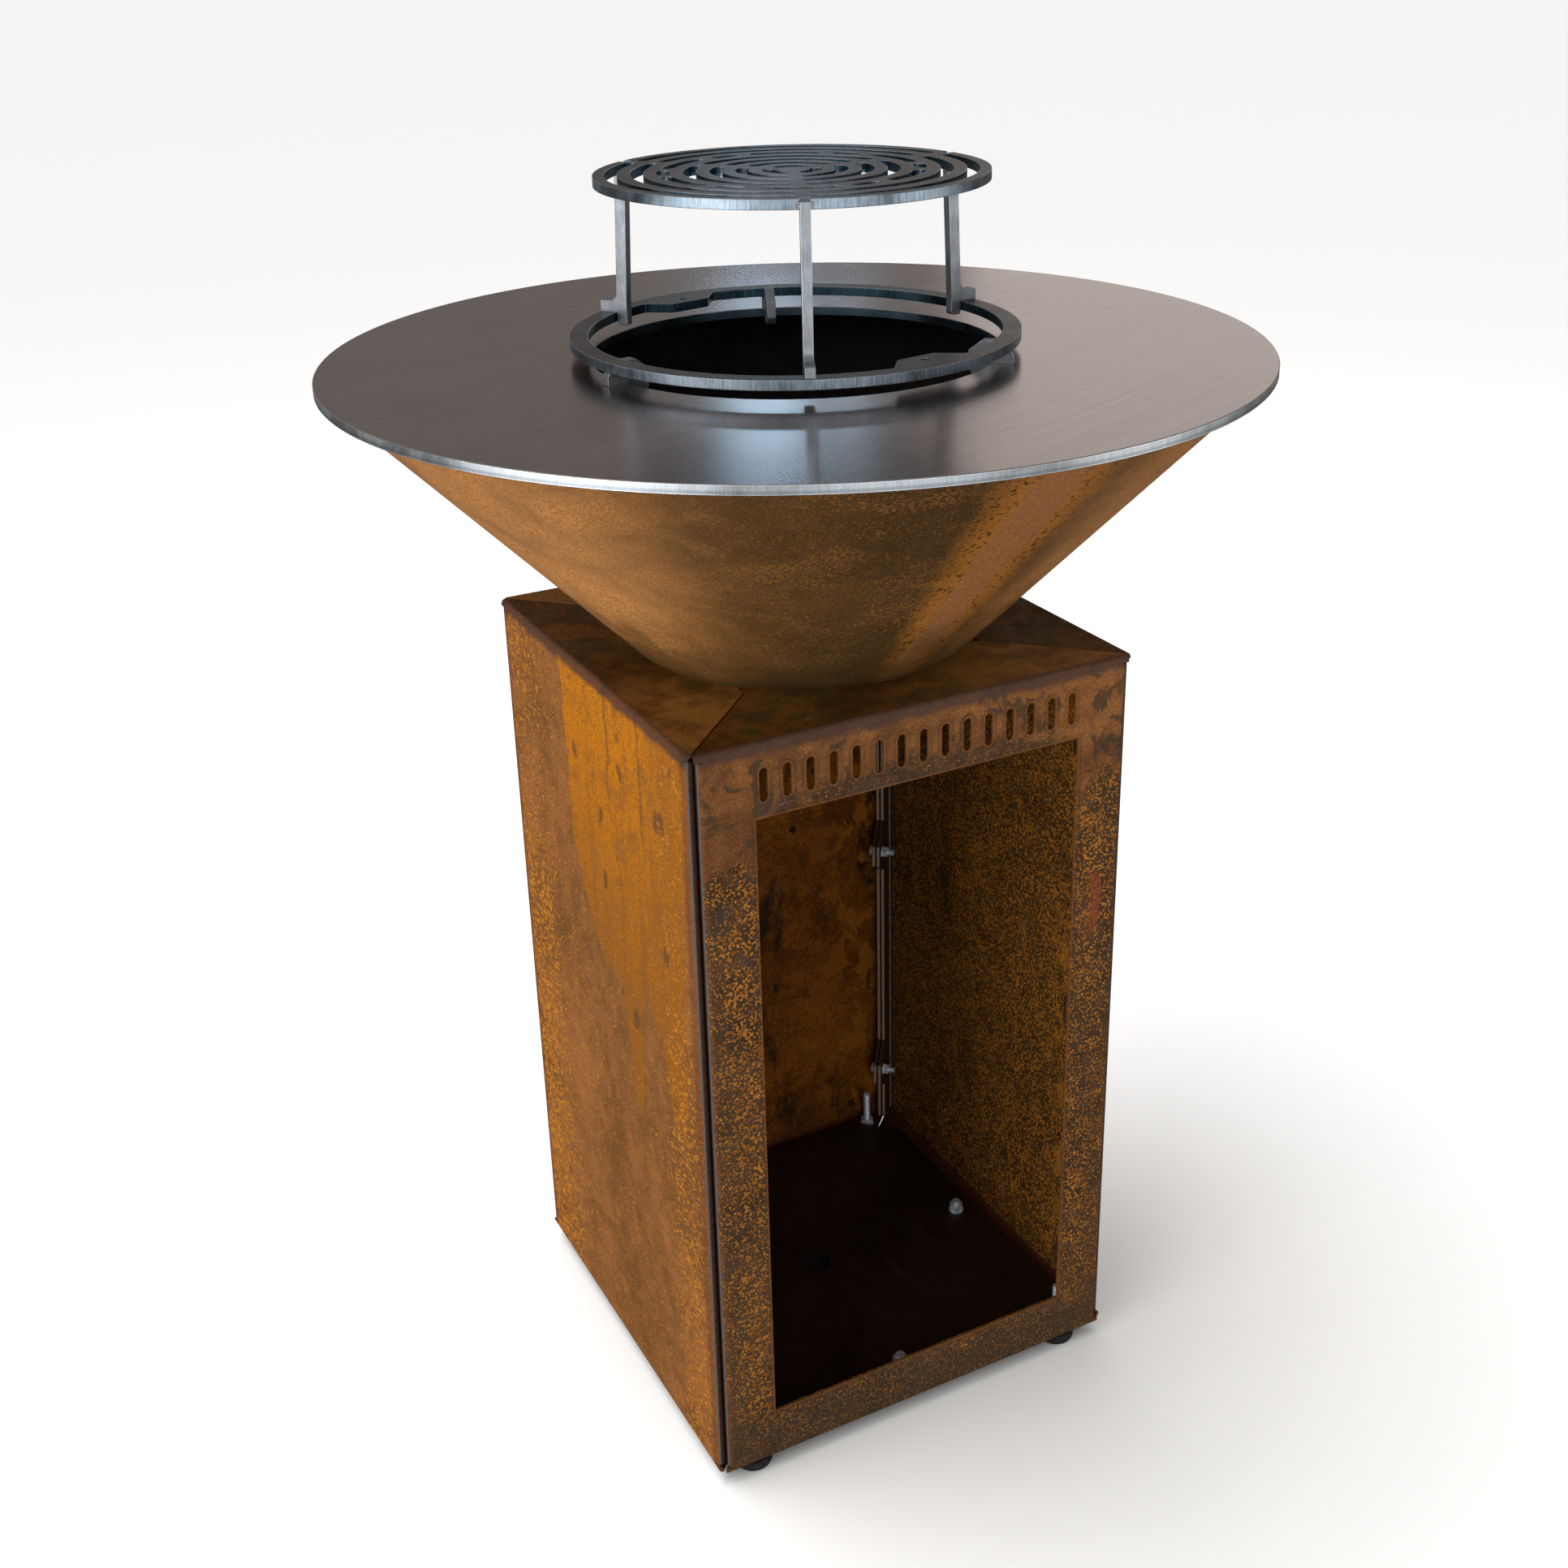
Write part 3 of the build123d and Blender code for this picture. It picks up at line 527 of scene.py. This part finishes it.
# --------------------------------------------------------------------- fire bowl
# A cone rolled from 3 mm weathering steel, rusted outside and black with soot
# inside, closed by a small flat base with air holes and bolted to the pedestal.
cone_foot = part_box("bowl_cone")[0].z
middle_foot, cone_flare = 0.1518, 0.9645  # radius of mid-wall at the foot, and its growth

material, tree, shader, place = finish("rusted_cone", 0.2)
x, y, z = put(tree, "SeparateXYZ", {0: place}).outputs
out = calc(tree, "ADD", calc(tree, "POWER", x, 2.0), calc(tree, "POWER", y, 2.0))
out = calc(tree, "SQRT", out)
facing = calc(tree, "ARCTAN2", x, calc(tree, "MULTIPLY", y, -1.0))
dark, light = (0.13, 0.064, 0.020, 1), (0.31, 0.150, 0.050, 1)
skin = use(tree, rust_skin, Place=place, Dark=dark, Light=light, Grain=1.1)
# pale ochre on the left, right and back, olive brown across the front, counted round from the back
round_it = [(0, 0.6), (0.25, 0.85), (0.31, 0.95), (0.36, 0.62), (0.42, 0.08), (0.5, 0.02),
            (0.54, 0.35), (0.6, 0.8), (0.8, 0.8), (1, 0.6)]
pale_side = hand_curve(tree, facing, -math.pi, math.pi, round_it)
veil = cloud(tree, stretch(tree, place, scale=(1, 1, 1.6)), 11.0, 5.0, 0.65, 0.7)
pale_side = calc(tree, "MULTIPLY", pale_side, slope(tree, veil, 0.3, 0.7, 0.55, 1.0))
olive = tint(tree, 0.82, skin["Color"], (0.030, 0.014, 0.003, 1))
ochre = tint(tree, 0.75, skin["Color"], (0.72, 0.32, 0.098, 1))
colour = tint(tree, pale_side, olive, ochre)
cover = slope(tree, veil, 0.4, 0.65, 0.15, 0.65)
crumbs = use(tree, rust_bloom, Place=place, Cover=cover, Size=0.0030)
colour = tint(tree, calc(tree, "MULTIPLY", crumbs["Mask"], 0.55), colour, (0.26, 0.105, 0.018, 1))
# a smooth reddish band down one side, with fresh crumbs beside it
drift = unsteady(tree, stretch(tree, place, scale=(1, 1, 0.7)), 30.0, 4.0, 0.65)
from_band = apart(tree, calc(tree, "MULTIPLY_ADD", drift, 0.07, facing), 0.035)
beside = use(tree, rust_bloom, Place=place, Cover=1.0, Size=0.0042)["Mask"]
beside = calc(tree, "MULTIPLY", slope(tree, from_band, 0.19, 0.075, 0.0, 0.7), beside)
colour = tint(tree, beside, colour, (0.44, 0.165, 0.022, 1))
band = cloud(tree, place, 260.0, 3.0)
band = tint(tree, band, (0.22, 0.090, 0.034, 1), (0.40, 0.170, 0.062, 1))
colour = tint(tree, slope(tree, from_band, 0.085, 0.050, 0.0, 0.85), colour, band)
sandy = put(tree, "VectorMath", {0: colour}, operation="SCALE")
sand = slope(tree, cloud(tree, place, 620.0, 2.0, 0.65), 0.36, 0.64, 0.80, 1.18)
tree.links.new(sand, sandy.inputs["Scale"])
low = calc(tree, "MULTIPLY_ADD", drift, 0.08, z)
low = slope(tree, low, cone_foot + 0.096, cone_foot + 0.011, 0.0, 0.75)
colour = tint(tree, low, sandy.outputs[0], (0.045, 0.024, 0.0055, 1))
# soot on whatever is nearer to the axis than the middle of the wall
mid_wall = calc(tree, "SUBTRACT", z, cone_foot)
mid_wall = calc(tree, "MULTIPLY_ADD", mid_wall, cone_flare, middle_foot)
inside = slope(tree, calc(tree, "SUBTRACT", out, mid_wall), 0.0005, -0.0005)
dark, light = (0.006, 0.006, 0.006, 1), (0.026, 0.022, 0.020, 1)
soot = use(tree, rust_skin, Place=place, Dark=dark, Light=light, Grain=0.8)
colour = tint(tree, inside, colour, soot["Color"])
rough = slope(tree, veil, 0.3, 0.7, 0.48, 0.66)
height = calc(tree, "MULTIPLY_ADD", crumbs["Height"], 0.8, skin["Height"])
settle(tree, shader, colour, rough, height, 0.0004, 0.45)
wear(material, "bowl_cone")

material, tree, shader, place = finish("sooty_base", 0.3)
dark, light = (0.010, 0.009, 0.008, 1), (0.05, 0.042, 0.036, 1)
skin = use(tree, rust_skin, Place=place, Dark=dark, Light=light, Grain=0.9)
ash = slope(tree, cloud(tree, place, 40.0, 4.0, 0.7), 0.54, 0.70, 0.0, 0.5)
colour = tint(tree, ash, skin["Color"], (0.16, 0.15, 0.14, 1))
settle(tree, shader, colour, slope(tree, ash, 0.0, 0.5, 0.7, 0.95), skin["Height"], 0.0006, 0.6)
wear(material, "bowl_base")

# ----------------------------------------------------------------- cooking plate
# An 8 mm disc of hot-rolled steel, cut by laser and ground on top in straight
# strokes to a satin face. It lies on the bowl's rim, held by three lugs below.

# Worn and highlit edge: where two faces meet within a radius, for bright arrises that are partly rubbed
# metal and partly painted highlight.
worn_and_highlit_edge, given, kept = effect(
    "worn_and_highlit_edge", [("Radius", "Float", 0.001)], [("Mask", "Float"), ("Normal", "Vector")])
rounded = put(worn_and_highlit_edge, "Bevel", {"Radius": given["Radius"]}, samples=6).outputs[0]
plain = put(worn_and_highlit_edge, "NewGeometry").outputs["Normal"]
agree = put(worn_and_highlit_edge, "VectorMath", {0: rounded, 1: plain}, operation="DOT_PRODUCT")
worn_and_highlit_edge.links.new(slope(worn_and_highlit_edge, agree.outputs["Value"], 0.995, 0.80), kept["Mask"])
worn_and_highlit_edge.links.new(rounded, kept["Normal"])

# Cut wall: the side of a laser cut, with fine upright drag lines and a burr.
cut_wall, given, kept = effect(
    "cut_wall",
    [("Place", "Vector", None), ("Dark", "Color", (0.10, 0.15, 0.19, 1)),
     ("Light", "Color", (0.5, 0.6, 0.66, 1))],
    [("Color", "Color"), ("Height", "Float"), ("Roughness", "Float")],
)
upright = stretch(cut_wall, given["Place"], scale=(1, 1, 0.06))
lines = cloud(cut_wall, upright, 900.0, 2.0, 0.6)
uneven = cloud(cut_wall, given["Place"], 30.0, 3.0, 0.6)
amount = calc(cut_wall, "MULTIPLY_ADD", lines, 0.7, calc(cut_wall, "MULTIPLY", uneven, 0.8))
amount = slope(cut_wall, amount, 0.52, 0.98)
cut_wall.links.new(tint(cut_wall, amount, given["Dark"], given["Light"]), kept["Color"])
cut_wall.links.new(lines, kept["Height"])
cut_wall.links.new(slope(cut_wall, uneven, 0.3, 0.7, 0.28, 0.48), kept["Roughness"])


def inner_side(tree, place):
    """How much of the inner finish a wall gets: all if it faces the axis, else none."""
    return slope(tree, outward(tree, place), -0.1, -0.4, 0.0, 0.9)


def flat_faces(tree):
    """1 on level faces, 0 on upright ones."""
    up = put(tree, "SeparateXYZ", {0: put(tree, "NewGeometry").outputs["Normal"]}).outputs[2]
    return slope(tree, calc(tree, "ABSOLUTE", up), 0.6, 0.8)


def either_value(tree, amount, under, over):
    """Passes from one number to another by an amount from 0 to 1."""
    return put(tree, "Mix", {0: amount, 2: under, 3: over}).outputs[0]


plate_low, plate_high = (corner.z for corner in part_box("cooking_plate"))
stroke_angle = math.radians(-24)

material, tree, shader, place = finish("ground_plate")
shader.inputs["Metallic"].default_value = 1.0
flat = flat_faces(tree)
stroke = stretch(tree, place, turn=(0, 0, stroke_angle))
brushed = cloud(tree, stretch(tree, stroke, scale=(0.012, 1, 1)), 480.0, 2.0, 0.6)
long_strokes = cloud(tree, stretch(tree, stroke, scale=(0.03, 1, 1)), 110.0, 2.0, 0.6)
haze = cloud(tree, place, 9.0, 4.0, 0.6, 0.4)
face = slope(tree, haze, 0.3, 0.7)
face = tint(tree, face, (0.40, 0.325, 0.305, 1), (0.47, 0.388, 0.366, 1))
long_strokes = slope(tree, long_strokes, 0.42, 0.70, 0.0, 0.22)
face = tint(tree, long_strokes, face, (0.34, 0.28, 0.262, 1))
face = tint(tree, slope(tree, brushed, 0.40, 0.75, 0.0, 0.3), face, (0.62, 0.54, 0.51, 1))
specks = use(tree, scale_spots, Place=place, Scale=60.0, Share=0.05)
specks = calc(tree, "MULTIPLY", specks["Mask"], 0.12)
face = tint(tree, specks, face, (0.20, 0.17, 0.16, 1))
# the rim: dull in its lower half, with a bright line along both arrises, partly burr and partly painted
# highlight
dark, light = (0.28, 0.31, 0.34, 1), (0.45, 0.50, 0.55, 1)
wall = use(tree, cut_wall, Place=place, Dark=dark, Light=light)
z = put(tree, "SeparateXYZ", {0: place}).outputs[2]
lower = slope(tree, z, plate_high - 0.0035, plate_high - 0.0055, 0.0, 0.55)
wall_colour = tint(tree, lower, wall["Color"], (0.14, 0.16, 0.185, 1))
burr_and_highlight = calc(tree, "ADD", slope(tree, z, plate_high - 0.0012, plate_high - 0.0005, 0.0, 0.8),
            slope(tree, z, plate_low + 0.0012, plate_low + 0.0006, 0.0, 0.8))
wall_colour = tint(tree, burr_and_highlight, wall_colour, (0.80, 0.84, 0.86, 1))
wall_colour = tint(tree, inner_side(tree, place), wall_colour, (0.045, 0.085, 0.115, 1))
colour = tint(tree, flat, wall_colour, face)
face_rough = slope(tree, haze, 0.3, 0.7, 0.190, 0.225)
face_rough = calc(tree, "MULTIPLY_ADD", brushed, 0.03, face_rough)
rough = either_value(tree, flat, wall["Roughness"], face_rough)
height = either_value(tree, flat, wall["Height"], calc(tree, "MULTIPLY", brushed, 0.03))
settle(tree, shader, colour, rough, height, 0.00006, 0.5)
wear(material, "cooking_plate", "plate_lugs")

# ------------------------------------------------------------ support ring and grate
# Both are laser-cut from 8 mm plate with the mill scale left on, so the faces are
# brown-grey and the cut walls steel blue. Legs and feet are welded on.
material, tree, shader, place = finish("scaled_steel")
shader.inputs["Metallic"].default_value = 1.0
flat = flat_faces(tree)
haze = cloud(tree, place, 22.0, 4.0, 0.6, 0.4)
face = slope(tree, haze, 0.3, 0.7)
face = tint(tree, face, (0.115, 0.100, 0.096, 1), (0.21, 0.190, 0.184, 1))
freckles = cloud(tree, place, 420.0, 3.0, 0.6)
face = tint(tree, slope(tree, freckles, 0.56, 0.70, 0.0, 0.4), face, (0.40, 0.385, 0.38, 1))
dark, light = (0.09, 0.122, 0.155, 1), (0.27, 0.335, 0.405, 1)
wall = use(tree, cut_wall, Place=place, Dark=dark, Light=light)
teal = slope(tree, wall["Height"], 0.55, 0.75)
teal = tint(tree, teal, (0.020, 0.058, 0.085, 1), (0.13, 0.25, 0.32, 1))
wall_colour = tint(tree, inner_side(tree, place), wall["Color"], teal)
colour = tint(tree, flat, wall_colour, face)
rubbed_and_highlit = use(tree, worn_and_highlit_edge, Radius=0.0011)
# bright arrises: partly nicked bare metal, partly painted highlight
nicks_and_highlights = slope(tree, cloud(tree, place, 260.0, 2.0), 0.35, 0.55, 0.55, 1.0)
nicks_and_highlights = calc(tree, "MULTIPLY", rubbed_and_highlit["Mask"], nicks_and_highlights)
colour = tint(tree, nicks_and_highlights, colour, (0.74, 0.79, 0.82, 1))
face_rough = slope(tree, haze, 0.3, 0.7, 0.38, 0.5)
rough = either_value(tree, flat, wall["Roughness"], face_rough)
height = either_value(tree, flat, wall["Height"], freckles)
settle(tree, shader, colour, rough, height, 0.00012, 0.5, rubbed_and_highlit["Normal"])
wear(material, "support_ring", "grate_disc")

# Legs of the grate and feet of the ring: cut from the same plate, duller and bluer.
material, tree, shader, place = finish("leg_steel")
shader.inputs["Metallic"].default_value = 0.9
haze = cloud(tree, place, 45.0, 4.0, 0.65)
dark, light = (0.20, 0.225, 0.26, 1), (0.30, 0.33, 0.365, 1)
wall = use(tree, cut_wall, Place=place, Dark=dark, Light=light)
brown = slope(tree, haze, 0.55, 0.72, 0.0, 0.5)
colour = tint(tree, brown, wall["Color"], (0.30, 0.27, 0.26, 1))
rubbed_and_highlit = use(tree, worn_and_highlit_edge, Radius=0.0010)
# bright arrises: partly rubbed bare metal, partly painted highlight
bright = calc(tree, "MULTIPLY", rubbed_and_highlit["Mask"], 0.7)
colour = tint(tree, bright, colour, (0.80, 0.84, 0.87, 1))
rough = slope(tree, haze, 0.3, 0.7, 0.42, 0.58)
settle(tree, shader, colour, rough, wall["Height"], 0.0001, 0.5, rubbed_and_highlit["Normal"])
wear(material, "grate_leg_front", "grate_leg_left", "grate_leg_right",
     "ring_support_back", "ring_support_left", "ring_support_right")

# ------------------------------------------------------------------- weld beads
# Short electric weld beads hold each leg in its notch in the grate's rim, and each
# foot under the ring. They are left as laid: rippled, and brighter than the plate.


def ringed_skin(name, rings, material, body):
    """A closed skin over rows of points: each row is a loop round the piece, and the
    first and last rows are closed by a flat cap."""
    rows, across = rings.shape[:2]
    index = np.arange(rows * across).reshape(rows, across)
    beside = np.roll(index, -1, axis=1)
    quads = np.stack([index[:-1], beside[:-1], beside[1:], index[1:]], axis=-1).reshape(-1, 4)
    mesh = bpy.data.meshes.new(name)
    caps = [index[0][::-1].tolist(), index[-1].tolist()]
    mesh.from_pydata(rings.reshape(-1, 3).tolist(), [], quads.tolist() + caps)
    mesh.polygons.foreach_set("use_smooth", [True] * len(quads) + [False, False])
    mesh.materials.append(material)
    piece = bpy.data.objects.new(name, mesh)
    bpy.context.scene.collection.objects.link(piece)
    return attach(piece, body)


def weld_bead(start, end, radius, ripples):
    """Rows round a straight bead: a circle carried from start to end, swollen once for
    each ripple and drawn in at both ends like a flattened superellipse."""
    start, end = np.array(start), np.array(end)
    t = np.linspace(0.0, 1.0, 10 * ripples + 1)[:, None]
    turn = np.linspace(0.0, 2 * np.pi, 14, endpoint=False)[None, :]
    along = (end - start) / np.linalg.norm(end - start)
    aside = np.cross(along, (0.31, 0.52, 0.80))
    aside /= np.linalg.norm(aside)
    over = np.cross(along, aside)
    ripple = 1 + 0.13 * np.cos(2 * np.pi * ripples * t + 1.5 * np.cos(turn))
    size = radius * np.sqrt(1 - 0.97 * (2 * t - 1) ** 6) * ripple
    centre = start + (end - start) * t
    round_it = np.cos(turn)[..., None] * aside + np.sin(turn)[..., None] * over
    return centre[:, None, :] + size[..., None] * round_it


weld, tree, shader, place = finish("weld_metal")
shader.inputs["Metallic"].default_value = 1.0
haze = cloud(tree, place, 300.0, 3.0, 0.6)
blued_and_reflected = slope(tree, cloud(tree, place, 120.0, 2.0), 0.42, 0.62)
blued_and_reflected = tint(tree, blued_and_reflected, (0.60, 0.63, 0.66, 1), (0.26, 0.22, 0.24, 1))
settle(tree, shader, blued_and_reflected, slope(tree, haze, 0.3, 0.7, 0.25, 0.45), haze, 0.0002, 0.6)


def rounder(reach, aside, height, angle):
    """A point at a reach along a leg's radius, aside from it, and at a height."""
    a = math.radians(angle)
    return (reach * math.cos(a) - aside * math.sin(a), reach * math.sin(a) + aside * math.cos(a), height)


# beads run up both sides of each leg, in its notch, from under the disc to its top
low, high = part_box("grate_disc")
leg_angles = {"right": 5.6, "left": 125.6, "front": 245.6}
notch, bead_side, leg_bead = 0.1632, 0.0049, 0.0019
for side, angle in leg_angles.items():
    for hand, letter in ((-1, "a"), (1, "b")):
        start = rounder(notch, hand * bead_side, low.z + 0.0010, angle)
        end = rounder(notch - 0.0003, hand * (bead_side - 0.0002), high.z - 0.0016, angle)
        ringed_skin(f"weld_leg_{side}_{letter}", weld_bead(start, end, leg_bead, 3),
                    weld, "grate")
# beads run outwards under the ring along both sides of each foot
under_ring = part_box("support_ring")[0].z - 0.0002
foot_angles = {"back": 70.5, "left": 190.5, "right": 310.5}
near, far, foot_side, foot_bead = 0.1770, 0.1885, 0.0045, 0.0018
for side, angle in foot_angles.items():
    for hand, letter in ((-1, "a"), (1, "b")):
        start = rounder(near, hand * foot_side, under_ring, angle)
        end = rounder(far, hand * foot_side, under_ring, angle)
        ringed_skin(f"weld_foot_{side}_{letter}", weld_bead(start, end, foot_bead, 4),
                    weld, "ring")

# --------------------------------------------------------------------- fasteners
# Bright zinc-plated bolts, nuts, washers and spacers.
material, tree, shader, place = finish("bright_zinc")
shader.inputs["Metallic"].default_value = 0.6
haze = cloud(tree, place, 180.0, 3.0, 0.6)
colour = slope(tree, haze, 0.35, 0.65)
colour = tint(tree, colour, (0.60, 0.70, 0.80, 1), (0.88, 0.93, 0.97, 1))
stain = slope(tree, cloud(tree, place, 320.0, 3.0, 0.7), 0.62, 0.72, 0.0, 0.6)
colour = tint(tree, stain, colour, (0.30, 0.16, 0.07, 1))
rubbed_and_highlit = use(tree, worn_and_highlit_edge, Radius=0.0004)
# bright arrises: partly rubbed plating, partly painted highlight
bright = calc(tree, "MULTIPLY", rubbed_and_highlit["Mask"], 0.5)
colour = tint(tree, bright, colour, (0.92, 0.95, 0.98, 1))
rough = slope(tree, haze, 0.3, 0.7, 0.30, 0.48)
settle(tree, shader, colour, rough, haze, 0.00005, 0.4)
hardware = ("bolt", "nut", "washer", "spacer", "stud")
wear(material, *[name for name in nodes if any(word in name for word in hardware)])


def threaded_rod(x, y, low, high, radius, pitch):
    """Rows round a screw thread: the radius falls and rises once each pitch, and the
    fall climbs with the turn; both ends are chamfered."""
    rows = int((high - low) / pitch * 6)
    thread_depth, chamfer = 0.55 * pitch, 0.0008
    z = np.linspace(low, high, rows)[:, None]
    turn = np.linspace(0.0, 2 * np.pi, 18, endpoint=False)[None, :]
    phase = ((z - low) / pitch - turn / (2 * np.pi)) % 1.0
    groove = np.abs(2 * phase - 1)
    from_end = np.minimum(z - low, high - z)
    reach = radius - thread_depth * groove - 0.9 * np.clip(chamfer - from_end, 0, 1)
    return np.stack([x + reach * np.cos(turn), y + reach * np.sin(turn), z + 0 * turn], axis=-1)


thread_pitch = 0.00125
for corner in ("front_left", "front_right", "back_left", "back_right"):
    low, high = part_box("foot_stud_" + corner)
    middle = (low + high) / 2
    rod = threaded_rod(middle.x, middle.y, low.z, high.z, (high.x - low.x) / 2, thread_pitch)
    stud = ringed_skin("threaded_stud_" + corner, rod, material, "foot_" + corner)
    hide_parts("foot_stud_" + corner)

# --------------------------------------------------------------------------- feet
# Moulded black plastic pads of the levelling feet, fine-grained and a little glossy.
material, tree, shader, place = finish("black_plastic", 0.5)
pores = cloud(tree, place, 1500.0, 2.0, 0.5)
dust = slope(tree, cloud(tree, place, 70.0, 3.0, 0.6), 0.5, 0.75, 0.0, 0.35)
colour = tint(tree, dust, (0.012, 0.012, 0.013, 1), (0.055, 0.048, 0.042, 1))
settle(tree, shader, colour, slope(tree, dust, 0.0, 0.35, 0.32, 0.6), pores, 0.0001, 0.4)
wear(material, *[name for name in nodes if name.startswith("foot_pad")])

# ------------------------------------------------------------------------- studio
# A pale floor with a painted shadow under the pedestal, soft light from the left and front, a broad pale
# wall of light behind on the right and two small windows that the ground plate mirrors, and the camera.
scene = bpy.context.scene
scene.view_settings.view_transform = "Standard"

floor_mesh = bpy.data.meshes.new("studio_floor")
floor_mesh.from_pydata([(-40, -40, 0), (40, -40, 0), (40, 40, 0), (-40, 40, 0)], [], [(0, 1, 2, 3)])
studio_floor = bpy.data.objects.new("studio_floor", floor_mesh)
scene.collection.objects.link(studio_floor)
material = bpy.data.materials.new("pale_floor")
material.use_nodes = True
tree = material.node_tree
shader = tree.nodes["Principled BSDF"]
shader.inputs["Roughness"].default_value = 0.9
shader.inputs["Specular IOR Level"].default_value = 0.0
place = put(tree, "TexCoord").outputs["Object"]
x, y = put(tree, "SeparateXYZ", {0: place}).outputs[:2]
reach = calc(tree, "MAXIMUM", calc(tree, "ABSOLUTE", x), calc(tree, "ABSOLUTE", y))
# painted shadow: the floor is darkened under the pedestal
painted_shadow_beneath = slope(tree, reach, half_width + 0.001, half_width - 0.031)
pale = tint(tree, painted_shadow_beneath, (0.80, 0.80, 0.80, 1), (0.05, 0.05, 0.05, 1))
tree.links.new(pale, shader.inputs["Base Color"])
grey = put(tree, "BsdfDiffuse", {"Color": (0.13, 0.122, 0.115, 1)})
seen = put(tree, "LightPath").outputs["Is Camera Ray"]
either = put(tree, "MixShader", {0: seen, 1: grey.outputs[0], 2: shader.outputs[0]})
tree.links.new(either.outputs[0], tree.nodes["Material Output"].inputs["Surface"])
floor_mesh.materials.append(material)

world = bpy.data.worlds.new("soft_room")
scene.world = world
world.use_nodes = True
tree = world.node_tree
background = tree.nodes["Background"]
seen = put(tree, "LightPath").outputs["Is Camera Ray"]
room = tint(tree, seen, (0.205, 0.194, 0.186, 1), (0.86, 0.86, 0.86, 1))
tree.links.new(room, background.inputs["Color"])


def softbox(name, place, target, width, height, power, colour):
    """A soft rectangular light that points at target and isn't itself seen."""
    lamp = bpy.data.lights.new(name, "AREA")
    lamp.shape, lamp.size, lamp.size_y = "RECTANGLE", width, height
    lamp.energy, lamp.color = power, colour
    holder = bpy.data.objects.new(name, lamp)
    holder.location = place
    holder.rotation_euler = (Vector(target) - Vector(place)).to_track_quat("-Z", "Y").to_euler()
    holder.visible_camera = False
    scene.collection.objects.link(holder)


warm, neutral = (1.0, 0.98, 0.95), (1.0, 0.99, 0.97)
softbox("key_left_low", (-3.4, -1.0, 0.50), (0, 0, 0.5), 3.2, 0.85, 66, warm)
softbox("key_left_high", (-3.4, -1.0, 1.95), (0, 0, 0.8), 3.6, 1.7, 56, warm)
softbox("fill_front_low", (-0.6, -4.2, 0.50), (0, 0, 0.5), 3.6, 0.85, 42, neutral)
softbox("fill_front_high", (-0.6, -4.2, 2.00), (0, 0, 0.8), 3.6, 1.6, 36, neutral)
softbox("fill_right_low", (2.9, -2.6, 0.50), (0, 0, 0.7), 2.4, 0.85, 28, (1.0, 0.97, 0.92))
softbox("wall_back_right", (2.985, 2.55, 1.85), (0.2, -0.2, 0.98), 2.08, 1.4, 5.0,
        (1.0, 0.95, 0.90))
softbox("window_back", (1.12, 2.29, 1.680), (-0.13, -0.21, 0.98), 0.17, 0.08, 0.45,
        (0.47, 0.74, 1.0))
softbox("window_side", (1.28, 2.21, 1.675), (-0.08, -0.22, 0.98), 0.07, 0.08, 0.085,
        (0.50, 0.76, 1.0))
softbox("top", (-0.5, 0.6, 3.4), (0, 0, 1.0), 2.0, 2.0, 10, warm)

# A sun for the floor alone keeps it evenly pale; the object still shades it softly.
sunlight = bpy.data.lights.new("floor_sun", "SUN")
sunlight.energy, sunlight.angle = 3.3, math.radians(70)
floor_sun = bpy.data.objects.new("floor_sun", sunlight)
floor_sun.rotation_euler = (math.radians(-18), math.radians(-20), 0)
scene.collection.objects.link(floor_sun)
lit = bpy.data.collections.new("floor_only")
lit.objects.link(studio_floor)
floor_sun.light_linking.receiver_collection = lit

camera_data = bpy.data.cameras.new("view")
camera = bpy.data.objects.new("view", camera_data)
camera_data.sensor_width = 36.0
camera_data.lens = 44.13
camera_data.shift_x = -0.01598
camera_data.shift_y = -0.05522
camera.matrix_world = Matrix((
    (0.881063, 0.200101, -0.428589, -0.74783),
    (-0.472605, 0.335409, -0.814951, -1.43266),
    (-0.019320, 0.920576, 0.390085, 1.34716),
    (0, 0, 0, 1),
))
scene.collection.objects.link(camera)
scene.camera = camera

bpy.context.view_layer.update()
